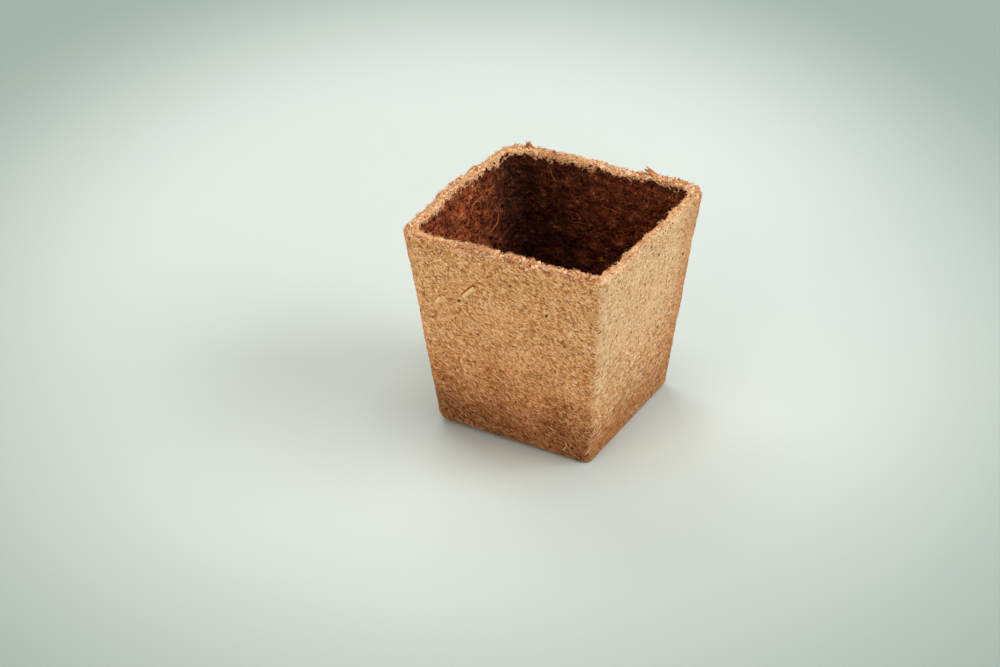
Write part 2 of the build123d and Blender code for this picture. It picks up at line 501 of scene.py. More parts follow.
def joined(parts: Sequence[tuple[np.ndarray, list]]) -> tuple[np.ndarray, list]:
    """Several shapes as one.

    Args:
        parts: Corners and faces of each.

    Returns:
        All corners, and all faces with their corners renumbered.
    """
    faces: list[tuple[int, ...]] = []
    start = 0
    for points, own in parts:
        faces += [tuple(corner + start for corner in face) for face in own]
        start += len(points)
    return np.concatenate([points for points, _ in parts]), faces


def eased(marks: Sequence[tuple[float, float]], steps: int, rounds: int) -> list[np.ndarray]:
    """Runs a bowed line through a few marks on a wall.

    Args:
        marks: Places along and up the wall.
        steps: Points along the line.
        rounds: How often its bends are rounded off.

    Returns:
        The line's places along the wall, and up it.
    """
    lines = []
    for values in zip(*marks):
        line = np.interp(np.linspace(0, len(marks) - 1, steps), np.arange(len(marks)), values)
        for _ in range(rounds):
            line[1:-1] = (line[:-2] + 2 * line[1:-1] + line[2:]) / 4
        lines.append(line)
    return lines


class Graph:
    """A material's nodes, written in few words."""

    def __init__(self, name: str) -> None:
        """Starts a material with one shader."""
        self.material = bpy.data.materials.new(name)
        self.material.use_nodes = True
        self.tree = self.material.node_tree
        self.tree.nodes.clear()
        self.shader = self.tree.nodes.new("ShaderNodeBsdfPrincipled")
        output = self.tree.nodes.new("ShaderNodeOutputMaterial")
        self.tree.links.new(self.shader.outputs[0], output.inputs["Surface"])

    def join(self, value: object, socket: bpy.types.NodeSocket) -> None:
        """Links a socket, or sets a plain value."""
        if isinstance(value, bpy.types.NodeSocket):
            self.tree.links.new(value, socket)
        else:
            socket.default_value = value

    def maths(self, operation: str, first: object, second: object = 0.0, clamp: bool = False) -> object:
        """One sum of two numbers."""
        node = self.tree.nodes.new("ShaderNodeMath")
        node.operation = operation
        node.use_clamp = clamp
        self.join(first, node.inputs[0])
        self.join(second, node.inputs[1])
        return node.outputs[0]

    def total(self, *parts: tuple[object, float]) -> object:
        """A sum of numbers, each times its weight."""
        result, *others = [self.maths("MULTIPLY", value, weight) for value, weight in parts]
        for other in others:
            result = self.maths("ADD", result, other)
        return result

    def millimetres(self) -> object:
        """The piece's own coordinates in millimetres."""
        source = self.tree.nodes.new("ShaderNodeTexCoord")
        scale = self.tree.nodes.new("ShaderNodeVectorMath")
        scale.operation = "SCALE"
        self.tree.links.new(source.outputs["Object"], scale.inputs[0])
        scale.inputs["Scale"].default_value = 1 / MM
        return scale.outputs[0]

    def height(self, high: float) -> object:
        """An even rise from 0 at the base to 1 at a height, in millimetres."""
        split = self.tree.nodes.new("ShaderNodeSeparateXYZ")
        self.tree.links.new(self.millimetres(), split.inputs[0])
        return self.range(split.outputs["Z"], 0.0, high, 0.0, 1.0)

    def height_share(self, low: float, high: float) -> object:
        """0 at one height of the pot and 1 at another, in millimetres."""
        split = self.tree.nodes.new("ShaderNodeSeparateXYZ")
        self.tree.links.new(self.millimetres(), split.inputs[0])
        reach = self.tree.nodes.new("ShaderNodeMapRange")
        reach.interpolation_type = "SMOOTHSTEP"
        self.tree.links.new(split.outputs["Z"], reach.inputs["Value"])
        reach.inputs["From Min"].default_value = low
        reach.inputs["From Max"].default_value = high
        return reach.outputs[0]

    def turned(self, vector: object, turn: float, stretch: tuple[float, float, float]) -> object:
        """Coordinates turned about the wall and stretched, for grain with a direction."""
        node = self.tree.nodes.new("ShaderNodeMapping")
        node.vector_type = "POINT"
        self.join(vector, node.inputs["Vector"])
        node.inputs["Rotation"].default_value = (0, 0, math.radians(turn))
        node.inputs["Scale"].default_value = stretch
        return node.outputs[0]

    def wall_map(self) -> object:
        """Coordinates along and up the walls, in millimetres."""
        source = self.tree.nodes.new("ShaderNodeUVMap")
        source.uv_map = "wall_map"
        scale = self.tree.nodes.new("ShaderNodeVectorMath")
        scale.operation = "SCALE"
        self.tree.links.new(source.outputs[0], scale.inputs[0])
        scale.inputs["Scale"].default_value = MAP_SCALE
        return scale.outputs[0]

    def noise(self, vector: object, scale: float, detail: float = 3.0, rough: float = 0.55) -> object:
        """Even noise from 0 to 1."""
        node = self.tree.nodes.new("ShaderNodeTexNoise")
        self.join(vector, node.inputs["Vector"])
        node.inputs["Scale"].default_value = scale
        node.inputs["Detail"].default_value = detail
        node.inputs["Roughness"].default_value = rough
        return node.outputs["Fac"]

    def value(self, name: str) -> object:
        """A number that the mesh carries."""
        node = self.tree.nodes.new("ShaderNodeAttribute")
        node.attribute_name = name
        return node.outputs["Fac"]

    def range(self, value: object, low: float, high: float, to_low: float, to_high: float) -> object:
        """Moves a number from one range to another, and holds it there."""
        node = self.tree.nodes.new("ShaderNodeMapRange")
        self.join(value, node.inputs["Value"])
        for name, level in (("From Min", low), ("From Max", high), ("To Min", to_low), ("To Max", to_high)):
            node.inputs[name].default_value = level
        return node.outputs[0]

    def ramp(self, value: object, stops: Sequence[tuple[float, tuple]]) -> object:
        """A colour that follows a number.

        Args:
            value: The number, from 0 to 1.
            stops: Places and colours, in order.

        Returns:
            The colour's socket.
        """
        node = self.tree.nodes.new("ShaderNodeValToRGB")
        self.join(value, node.inputs[0])
        marks = node.color_ramp.elements
        while len(marks) < len(stops):
            marks.new(0.5)
        for mark, (place, colour) in zip(marks, stops):
            mark.position = place
            mark.color = colour
        return node.outputs[0]

    def mix(self, factor: object, first: object, second: object, way: str = "MIX") -> object:
        """Two colours mixed."""
        node = self.tree.nodes.new("ShaderNodeMix")
        node.data_type = "RGBA"
        node.blend_type = way
        self.join(factor, node.inputs[0])
        self.join(first, node.inputs[6])
        self.join(second, node.inputs[7])
        return node.outputs[2]

    def finish(
        self, colour: object, bump: object, depth: float, rough: float, sheen: float
    ) -> bpy.types.Material:
        """Joins everything to the shader.

        Args:
            colour: The surface's colour.
            bump: The height of its fine relief, from 0 to 1.
            depth: How deep that relief is, in millimetres.
            rough: The shader's roughness.
            sheen: How much fuzz catches the light.

        Returns:
            The finished material.
        """
        self.join(colour, self.shader.inputs["Base Color"])
        self.shader.inputs["Roughness"].default_value = rough
        self.shader.inputs["Specular IOR Level"].default_value = 0.06
        self.shader.inputs["Sheen Weight"].default_value = sheen
        self.shader.inputs["Sheen Roughness"].default_value = 0.6
        self.shader.inputs["Sheen Tint"].default_value = linear(235, 205, 160)
        relief = self.tree.nodes.new("ShaderNodeBump")
        relief.inputs["Strength"].default_value = 1.0
        relief.inputs["Distance"].default_value = depth * MM
        self.join(bump, relief.inputs["Height"])
        self.tree.links.new(relief.outputs[0], self.shader.inputs["Normal"])
        return self.material


WHITE = (1, 1, 1, 1)
# Painted shade: the tint that darkens the inside towards the pot's floor.
DEPTH_SHADE = (0.3, 0.36, 0.46, 1.0)


def sunk(graph: Graph, colour: object) -> object:
    """Paints shade into a colour: darker towards the pot's floor, and where the mesh's painted light level is
    low, as in the corner between back and left.
    """
    depth = graph.maths("MULTIPLY", graph.height_share(-14.0, 36.0), graph.value("murk"))
    return graph.mix(1.0, colour, graph.mix(depth, DEPTH_SHADE, WHITE), "MULTIPLY")


@dataclass(frozen=True)
class BaseDamp:
    """The darker, redder foot, partly moisture and partly painted shade, and the paler walls, which are painted
    light, that every piece of the outside shares.
    """

    # Multipliers by height for the foot: moisture and painted shade.
    tints: tuple = (
        (0.05, (0.2, 0.1, 0.065, 1)), (0.2, (0.3, 0.165, 0.11, 1)), (0.29, (0.45, 0.265, 0.19, 1)),
        (0.38, (0.67, 0.475, 0.365, 1)), (0.48, (0.81, 0.64, 0.54, 1)), (0.6, (0.885, 0.785, 0.71, 1)),
        (0.72, (0.945, 0.89, 0.865, 1)), (1.0, (1, 1, 1, 1)))
    high: float = 42.0
    # The colour that painted light turns the lit walls towards.
    pale: tuple = linear(246, 214, 174)
    # Colour of wear, also used as painted light colour at the right wall's foot.
    worn: tuple = linear(188, 104, 46)
    # How much painted light the lit walls get.
    bleach: float = 0.36
    # How much of the foot's moisture and painted shade is used.
    soak: float = 1.0

    def over(self, graph: Graph, colour: object, broad: object, tone: object) -> object:
        """Darkens a colour towards the base, pale fibre least, as moisture and painted shade, and paints light
        on some walls as a paler colour.

        Args:
            graph: The material's nodes.
            colour: The colour's socket.
            broad: Slow noise that makes the border uneven.
            tone: How pale the fibre is, from 0 to 1.

        Returns:
            The changed colour's socket.
        """
        uneven = graph.range(broad, 0.3, 0.7, -0.07, 0.07)
        uneven = graph.maths("ADD", uneven, graph.range(tone, 0.1, 0.95, -0.13, 0.1))
        tint = graph.ramp(graph.maths("ADD", graph.height(self.high), uneven, True), self.tints)
        # Painted light: paler on the lit walls and the front-right corner, more towards the top.
        painted_lit_side = graph.maths("MULTIPLY", graph.value("pale"), graph.height_share(4.0, 40.0))
        colour = graph.mix(graph.maths("MULTIPLY", painted_lit_side, self.bleach), colour, self.pale)
        # Wear on the right wall's back edge, and painted light colour at its foot.
        wear_and_foot_share = graph.maths("MULTIPLY", graph.value("worn"), graph.range(broad, 0.35, 0.65, 0.3, 0.7))
        colour = graph.mix(wear_and_foot_share, colour, self.worn)
        # Moisture and painted shade at the foot.
        darkened = graph.maths("MULTIPLY", graph.value("damp"), self.soak)
        return graph.mix(darkened, colour, graph.mix(1.0, colour, tint, "MULTIPLY"))


@dataclass(frozen=True)
class FeltFinish:
    """Fine orange-tan felt: short pressed fibre over darker gaps, with a redder foot that is partly painted
    shade and a paler corner that is a painted highlight.
    """

    gap: tuple = linear(130, 66, 24)
    shade: tuple = linear(192, 123, 64)
    tan: tuple = linear(234, 174, 108)
    pale: tuple = linear(255, 224, 180)
    damp: BaseDamp = BaseDamp()

    def make(self) -> bpy.types.Material:
        """Builds the material."""
        graph = Graph("pressed_felt")
        space = graph.millimetres()
        wall = graph.wall_map()
        streak = graph.noise(graph.turned(wall, 0, (0.95, 4.8, 1)), 1.0, 2.0, 0.6)
        cross = graph.noise(graph.turned(wall, 50, (1.0, 4.6, 1)), 1.0, 2.0, 0.6)
        fine = graph.noise(space, 3.6, 2.0, 0.7)
        broad = graph.noise(space, 0.11, 3.0, 0.5)
        patch = graph.noise(space, 0.42, 2.0, 0.5)
        grain = graph.noise(space, 5.0, 1.0, 0.5)
        tone = graph.total(
            (streak, 0.75), (cross, 0.45), (fine, 0.5), (grain, 0.45), (broad, 0.16), (patch, 0.08))
        tone = graph.range(tone, 1.065, 1.28, 0.0, 1.0)
        # Painted highlight along the corner between front and right.
        tone = graph.maths("ADD", tone, graph.maths("MULTIPLY", graph.value("corner"), 0.28), True)
        colour = graph.ramp(tone, ((0.0, self.gap), (0.3, self.shade), (0.62, self.tan), (1.0, self.pale)))
        # Painted foot shade, and painted light on the lit walls and corner.
        colour = self.damp.over(graph, colour, broad, tone)
        relief = graph.total((streak, 0.6), (fine, 0.45), (grain, 0.45))
        return graph.finish(colour, relief, 0.36, 0.95, 0.08)


@dataclass(frozen=True)
class MatFinish:
    """Coarse dark red-brown peat and fibre, paler where it shows in the torn rim."""

    crack: tuple = linear(48, 17, 9)
    deep: tuple = linear(98, 42, 24)
    earth: tuple = linear(162, 78, 46)
    rust: tuple = linear(222, 132, 82)
    rim_shade: tuple = linear(172, 104, 64)
    rim: tuple = linear(230, 174, 122)
    rim_pale: tuple = linear(250, 212, 164)

    def make(self) -> bpy.types.Material:
        """Builds the material."""
        graph = Graph("coarse_mat")
        space = graph.millimetres()
        clump = graph.noise(space, 0.32, 4.0, 0.62)
        fine = graph.noise(space, 1.9, 3.0, 0.68)
        ridge = graph.noise(graph.turned(space, 0, (0.28, 0.28, 1.1)), 1.0, 3.0, 0.6)
        tone = graph.total((clump, 0.4), (fine, 0.45), (ridge, 0.4))
        colour = graph.ramp(
            tone, ((0.49, self.crack), (0.565, self.deep), (0.66, self.earth), (0.78, self.rust)))
        pits = graph.range(graph.noise(space, 0.95, 3.0, 0.6), 0.36, 0.42, 0.8, 0.0)
        colour = graph.mix(pits, colour, self.crack)
        # Painted shade towards the pot's floor and in the corner between back and left.
        colour = sunk(graph, colour)
        torn = graph.maths("ADD", graph.value("rim"), graph.range(clump, 0.35, 0.65, -0.32, 0.32))
        torn = graph.maths("ADD", torn, graph.range(fine, 0.3, 0.7, -0.25, 0.25), True)
        torn = graph.range(torn, 0.4, 0.6, 0.0, 1.0)
        bright = graph.ramp(fine, ((0.34, self.rim_shade), (0.48, self.rim), (0.64, self.rim_pale)))
        colour = graph.mix(torn, colour, bright)
        return graph.finish(colour, tone, 0.9, 0.95, 0.03)


@dataclass(frozen=True)
class FibreFinish:
    """Loose fibre whose colour runs through a few tones, one for each fibre."""

    name: str
    stops: tuple
    damp: BaseDamp | None = None
    shade: bool = False
    rough: float = 0.85
    sheen: float = 0.06

    def make(self) -> bpy.types.Material:
        """Builds the material."""
        graph = Graph(self.name)
        space = graph.millimetres()
        fine = graph.noise(space, 4.0, 2.0, 0.5)
        tone = graph.maths("ADD", graph.value("tone"), graph.range(fine, 0.2, 0.8, -0.1, 0.1), True)
        colour = graph.ramp(tone, self.stops)
        # Painted foot shade and painted lit side, as on the felt.
        if self.damp:
            colour = self.damp.over(graph, colour, graph.noise(space, 0.11, 3.0, 0.5), tone)
        # Painted shade towards the pot's floor, as on the mat.
        if self.shade:
            colour = sunk(graph, colour)
        return graph.finish(colour, fine, 0.03, self.rough, self.sheen)


# The felt fibres take the same painted foot shade and painted lit side, the foot less dark.
FELT_FIBRE = FibreFinish(
    "felt_fibre",
    ((0.0, linear(134, 73, 33)), (0.2, linear(195, 127, 69)), (0.5, linear(231, 172, 108)),
     (0.8, linear(251, 208, 151)), (1.0, linear(255, 238, 203))),
    damp=BaseDamp(soak=0.69))
# The specks take the painted foot shade but no painted lit side.
FELT_SPECK = FibreFinish(
    "dark_speck",
    ((0.0, linear(94, 42, 18)), (0.3, linear(134, 68, 34)), (1.0, linear(184, 112, 62))),
    damp=BaseDamp(bleach=0.0), rough=0.95, sheen=0.0)
RIM_FIBRE = FibreFinish(
    "rim_fibre",
    ((0.0, linear(160, 92, 50)), (0.3, linear(214, 152, 98)), (0.65, linear(242, 198, 146)),
     (1.0, linear(255, 228, 188))))
CRUMB = FibreFinish(
    "torn_crumb",
    ((0.0, linear(144, 72, 42)), (0.2, linear(210, 142, 98)), (0.55, linear(240, 192, 146)),
     (0.85, linear(252, 218, 180)), (1.0, linear(255, 230, 198))),
    rough=0.95)
# Painted shadow: dark red fibre laid in the seam under the front rim's crumbs.
RIM_SHADOW_FIBRE = FibreFinish(
    "rim_crack",
    ((0.0, linear(84, 30, 16)), (0.6, linear(132, 62, 34)), (1.0, linear(178, 100, 58))),
    rough=0.95)
INNER_FIBRE = FibreFinish(
    "inner_fibre",
    ((0.0, linear(64, 26, 13)), (0.5, linear(128, 60, 33)), (0.85, linear(178, 98, 56)),
     (1.0, linear(222, 144, 86))),
    shade=True)
PEAT_CRUMB = FibreFinish(
    "peat_crumb",
    ((0.0, linear(52, 20, 10)), (0.4, linear(98, 42, 23)), (0.8, linear(146, 70, 40)),
     (1.0, linear(184, 100, 60))),
    rough=0.95, shade=True)
STRAND_FIBRE = FibreFinish(
    "golden_strand",
    ((0.0, linear(130, 62, 32)), (0.5, linear(194, 112, 60)), (1.0, linear(248, 178, 108))),
    rough=0.7, shade=True)
BARK = FibreFinish(
    "bark",
    ((0.0, linear(84, 44, 22)), (0.6, linear(124, 70, 36)), (1.0, linear(166, 102, 58))),
    rough=0.9)
SPLINTER = FibreFinish(
    "splinter",
    ((0.0, linear(116, 58, 30)), (0.5, linear(186, 108, 60)), (1.0, linear(226, 160, 100))),
    rough=0.9)
STRAW = FibreFinish(
    "straw",
    ((0.0, linear(200, 150, 94)), (0.45, linear(238, 202, 148)), (1.0, linear(252, 234, 194))),
    rough=0.6)


@dataclass
class Scatter:
    """Strews small shapes over a surface with Geometry Nodes."""

    density: float
    size_low: float
    size_high: float
    tilt: float = 6.0
    heading: float = 0.0
    spread: float = 180.0
    seed: int = 1
    smooth: bool = True

    def sockets(self, tree: bpy.types.NodeTree) -> None:
        """Gives the tree its named inputs and its output."""
        inputs = (
            ("Geometry", "NodeSocketGeometry"), ("Shapes", "NodeSocketCollection"),
            ("Finish", "NodeSocketMaterial"), ("Density", "NodeSocketFloat"),
            ("Smallest", "NodeSocketFloat"), ("Largest", "NodeSocketFloat"),
            ("Tilt", "NodeSocketFloat"), ("Heading", "NodeSocketFloat"), ("Spread", "NodeSocketFloat"),
            ("Seed", "NodeSocketInt"))
        for name, kind in inputs:
            tree.interface.new_socket(name=name, in_out="INPUT", socket_type=kind)
        tree.interface.new_socket(name="Geometry", in_out="OUTPUT", socket_type="NodeSocketGeometry")

    def build_tree(self) -> bpy.types.NodeTree:
        """Builds the node tree once: points on faces, shapes on points, then a plain mesh.

        Returns:
            The tree.
        """
        tree = bpy.data.node_groups.new("strew_on_surface", "GeometryNodeTree")
        self.sockets(tree)
        nodes, links = tree.nodes, tree.links
        given = nodes.new("NodeGroupInput").outputs
        result = nodes.new("NodeGroupOutput")

        def random(kind: str, low: object, high: object, number: int) -> bpy.types.NodeSocket:
            """A random number for each point, with a seed of its own."""
            first, out = {"FLOAT": (2, 1), "INT": (4, 2)}[kind]
            node = nodes.new("FunctionNodeRandomValue")
            node.data_type = kind
            for offset, level in enumerate((low, high)):
                if isinstance(level, bpy.types.NodeSocket):
                    links.new(level, node.inputs[first + offset])
                else:
                    node.inputs[first + offset].default_value = level
            add = nodes.new("ShaderNodeMath")
            add.operation = "ADD"
            links.new(given["Seed"], add.inputs[0])
            add.inputs[1].default_value = number
            links.new(add.outputs[0], node.inputs["Seed"])
            return node.outputs[out]

        cover = nodes.new("GeometryNodeInputNamedAttribute")
        cover.data_type = "FLOAT"
        cover.inputs["Name"].default_value = "cover"
        share = nodes.new("ShaderNodeMath")
        share.operation = "MULTIPLY"
        links.new(cover.outputs["Attribute"], share.inputs[0])
        links.new(given["Density"], share.inputs[1])
        spread = nodes.new("GeometryNodeDistributePointsOnFaces")
        links.new(given["Geometry"], spread.inputs["Mesh"])
        links.new(share.outputs[0], spread.inputs["Density"])
        links.new(given["Seed"], spread.inputs["Seed"])

        def maths(operation: str, first: bpy.types.NodeSocket, second: object) -> bpy.types.NodeSocket:
            """One sum of two numbers."""
            node = nodes.new("ShaderNodeMath")
            node.operation = operation
            links.new(first, node.inputs[0])
            if isinstance(second, bpy.types.NodeSocket):
                links.new(second, node.inputs[1])
            else:
                node.inputs[1].default_value = second
            return node.outputs[0]

        back = maths("MULTIPLY", given["Tilt"], -1.0)
        angles = nodes.new("ShaderNodeCombineXYZ")
        links.new(random("FLOAT", back, given["Tilt"], 1), angles.inputs["X"])
        links.new(random("FLOAT", back, given["Tilt"], 2), angles.inputs["Y"])
        lean = nodes.new("FunctionNodeEulerToRotation")
        links.new(angles.outputs[0], lean.inputs[0])
        heading = nodes.new("ShaderNodeCombineXYZ")
        swing = maths("ADD", random("FLOAT", -0.5, 0.5, 3), random("FLOAT", -0.5, 0.5, 7))
        turn_by = maths("ADD", given["Heading"], maths("MULTIPLY", swing, given["Spread"]))
        links.new(turn_by, heading.inputs["Z"])
        spin = nodes.new("FunctionNodeEulerToRotation")
        links.new(heading.outputs[0], spin.inputs[0])
        way = nodes.new("GeometryNodeInputNamedAttribute")
        way.data_type = "FLOAT_VECTOR"
        way.inputs["Name"].default_value = "along"
        align = nodes.new("FunctionNodeAlignRotationToVector")
        align.axis = "X"
        align.pivot_axis = "Z"
        links.new(spread.outputs["Rotation"], align.inputs["Rotation"])
        links.new(way.outputs["Attribute"], align.inputs["Vector"])
        turned = align.outputs[0]
        for step in (spin, lean):
            turn = nodes.new("FunctionNodeRotateRotation")
            turn.rotation_space = "LOCAL"
            links.new(turned, turn.inputs["Rotation"])
            links.new(step.outputs[0], turn.inputs["Rotate By"])
            turned = turn.outputs[0]
        shapes = nodes.new("GeometryNodeCollectionInfo")
        shapes.inputs["Separate Children"].default_value = True
        shapes.inputs["Reset Children"].default_value = True
        links.new(given["Shapes"], shapes.inputs["Collection"])
        put = nodes.new("GeometryNodeInstanceOnPoints")
        put.inputs["Pick Instance"].default_value = True
        links.new(spread.outputs["Points"], put.inputs["Points"])
        links.new(shapes.outputs[0], put.inputs["Instance"])
        links.new(random("INT", 0, 997, 4), put.inputs["Instance Index"])
        links.new(turned, put.inputs["Rotation"])
        links.new(random("FLOAT", given["Smallest"], given["Largest"], 5), put.inputs["Scale"])
        store = nodes.new("GeometryNodeStoreNamedAttribute")
        store.data_type = "FLOAT"
        store.domain = "INSTANCE"
        store.inputs["Name"].default_value = "tone"
        links.new(put.outputs[0], store.inputs["Geometry"])
        links.new(random("FLOAT", 0.0, 1.0, 6), store.inputs["Value"])
        real = nodes.new("GeometryNodeRealizeInstances")
        links.new(store.outputs[0], real.inputs[0])
        dress = nodes.new("GeometryNodeSetMaterial")
        links.new(real.outputs[0], dress.inputs["Geometry"])
        links.new(given["Finish"], dress.inputs["Material"])
        links.new(dress.outputs[0], result.inputs[0])
        return tree

    def grow(
        self, name: str, carrier: bpy.types.Mesh, shapes: bpy.types.Collection, finish: bpy.types.Material
    ) -> bpy.types.Mesh:
        """Strews the shapes over a carrier and turns the result into a plain mesh.

        Args:
            name: The new mesh's name.
            carrier: The surface, with its cover values.
            shapes: The shapes to pick from.
            finish: Their material.

        Returns:
            The mesh, with a tone for each shape.
        """
        tree = bpy.data.node_groups.get("strew_on_surface") or self.build_tree()
        ground = bpy.data.objects.new(name + "_ground", carrier)
        bpy.context.scene.collection.objects.link(ground)
        modifier = ground.modifiers.new("strew", "NODES")
        modifier.node_group = tree
        values = {
            "Shapes": shapes, "Finish": finish, "Density": self.density / (MM * MM),
            "Smallest": self.size_low * MM, "Largest": self.size_high * MM,
            "Tilt": math.radians(self.tilt), "Heading": math.radians(self.heading),
            "Spread": math.radians(self.spread), "Seed": self.seed}
        for item in tree.interface.items_tree:
            if item.in_out == "INPUT" and item.name in values:
                modifier[item.identifier] = values[item.name]
        ground.update_tag()
        bpy.context.view_layer.update()
        graph = bpy.context.evaluated_depsgraph_get()
        mesh = bpy.data.meshes.new_from_object(
            ground.evaluated_get(graph), preserve_all_data_layers=True, depsgraph=graph)
        mesh.name = name
        ground.modifiers.remove(modifier)
        bpy.data.objects.remove(ground)
        mesh.polygons.foreach_set("use_smooth", [self.smooth] * len(mesh.polygons))
        return mesh

    def piece(
        self, name: str, seed: int, carrier: bpy.types.Mesh, shapes: bpy.types.Collection,
        finish: bpy.types.Material, slot: str, nodes: Sequence[str] = ()
    ) -> None:
        """Strews the shapes and settles them on the pot as one piece.

        Args:
            name: The piece's name.
            seed: Sets where the shapes fall.
            carrier: The surface, with its cover values.
            shapes: The shapes to pick from.
            finish: Their material.
            slot: A material slot's name; not used.
            nodes: CAD nodes that they stand for.
        """
        self.seed = seed
        mesh = self.grow(name, carrier, shapes, finish)
        settle(show(mesh.name, mesh, finish), nodes)


@dataclass
class ShapeBox:
    """Small unit shapes, about 1 mm long, that the scatters pick from."""

    seed: int = 5

    def collect(self, name: str, meshes: Sequence[bpy.types.Mesh]) -> bpy.types.Collection:
        """Puts unit meshes in a collection that isn't shown."""
        group = bpy.data.collections.new(name)
        for number, mesh in enumerate(meshes):
            group.objects.link(bpy.data.objects.new(f"{name}_{number}", mesh))
        return group

    def unit_mesh(self, name: str, points: np.ndarray, faces: list) -> bpy.types.Mesh:
        """A mesh whose unit is one metre, so that a scatter's size scales it."""
        return plain_mesh(name, np.asarray(points) / MM, faces)

    def fibres(
        self, name: str, count: int, steps: int, sides: int, radius: float, bend: float, lift: float
    ) -> bpy.types.Collection:
        """Bent fibres one unit long that lie along X, with their ends a little off the surface.

        Args:
            name: The collection's name.
            count: How many different ones.
            steps: Lengths along each.
            sides: Sides of each.
            radius: Middle radius as a share of the length.
            bend: Most sideways bow as a share of the length.
            lift: Most rise of an end as a share of the length.

        Returns:
            The collection.
        """
        maker = np.random.default_rng(self.seed + count * 7 + steps)
        meshes = []
        share = np.linspace(0, 1, steps + 1)
        for number in range(count):
            bow, twist = maker.uniform(-bend, bend, 2)
            rise_a, rise_b = maker.uniform(-0.3 * lift, lift, 2)
            side = bow * 4 * share * (1 - share) + 0.5 * twist * np.sin(2 * math.pi * share)
            rise = rise_a * (1 - share) ** 2 + rise_b * share ** 2
            path = np.stack([share - 0.5, side, rise], 1)
            thick = radius * maker.uniform(0.7, 1.35)
            radii = thick * (0.45 + 0.55 * np.sin(math.pi * np.clip(share, 0.02, 0.98)) ** 0.6)
            points, faces = tube(path, radii, sides, np.array([0, 0, 1.0]))
            meshes.append(self.unit_mesh(f"{name}_{number}", points, faces))
        return self.collect(name, meshes)

    def lumps(self, name: str, count: int, stretch: tuple[float, float, float]) -> bpy.types.Collection:
        """Small angular lumps about one unit across.

        Args:
            name: The collection's name.
            count: How many different ones.
            stretch: Their length, width and height.

        Returns:
            The collection.
        """
        maker = np.random.default_rng(self.seed + count * 13)
        meshes = []
        rings, sides = 4, 6
        for number in range(count):
            points: list[np.ndarray] = []
            for ring in range(1, rings):
                angle = math.pi * ring / rings
                for side in range(sides):
                    turn = 2 * math.pi * (side + 0.5 * (ring % 2)) / sides
                    reach = 0.5 * maker.uniform(0.5, 1.25)
                    points.append(reach * np.array([
                        math.sin(angle) * math.cos(turn), math.sin(angle) * math.sin(turn),
                        math.cos(angle)]))
            points.append(np.array([0, 0, 0.5 * maker.uniform(0.7, 1.2)]))
            points.append(np.array([0, 0, -0.5]))
            faces: list[tuple[int, ...]] = []
            for ring in range(rings - 2):
                for side in range(sides):
                    after = (side + 1) % sides
                    faces.append((ring * sides + side, (ring + 1) * sides + side,
                                  (ring + 1) * sides + after, ring * sides + after))
            top, low = len(points) - 2, len(points) - 1
            for side in range(sides):
                after = (side + 1) % sides
                faces.append((top, side, after))
                faces.append((low, (rings - 2) * sides + after, (rings - 2) * sides + side))
            meshes.append(self.unit_mesh(f"{name}_{number}", np.array(points) * np.array(stretch), faces))
        return self.collect(name, meshes)


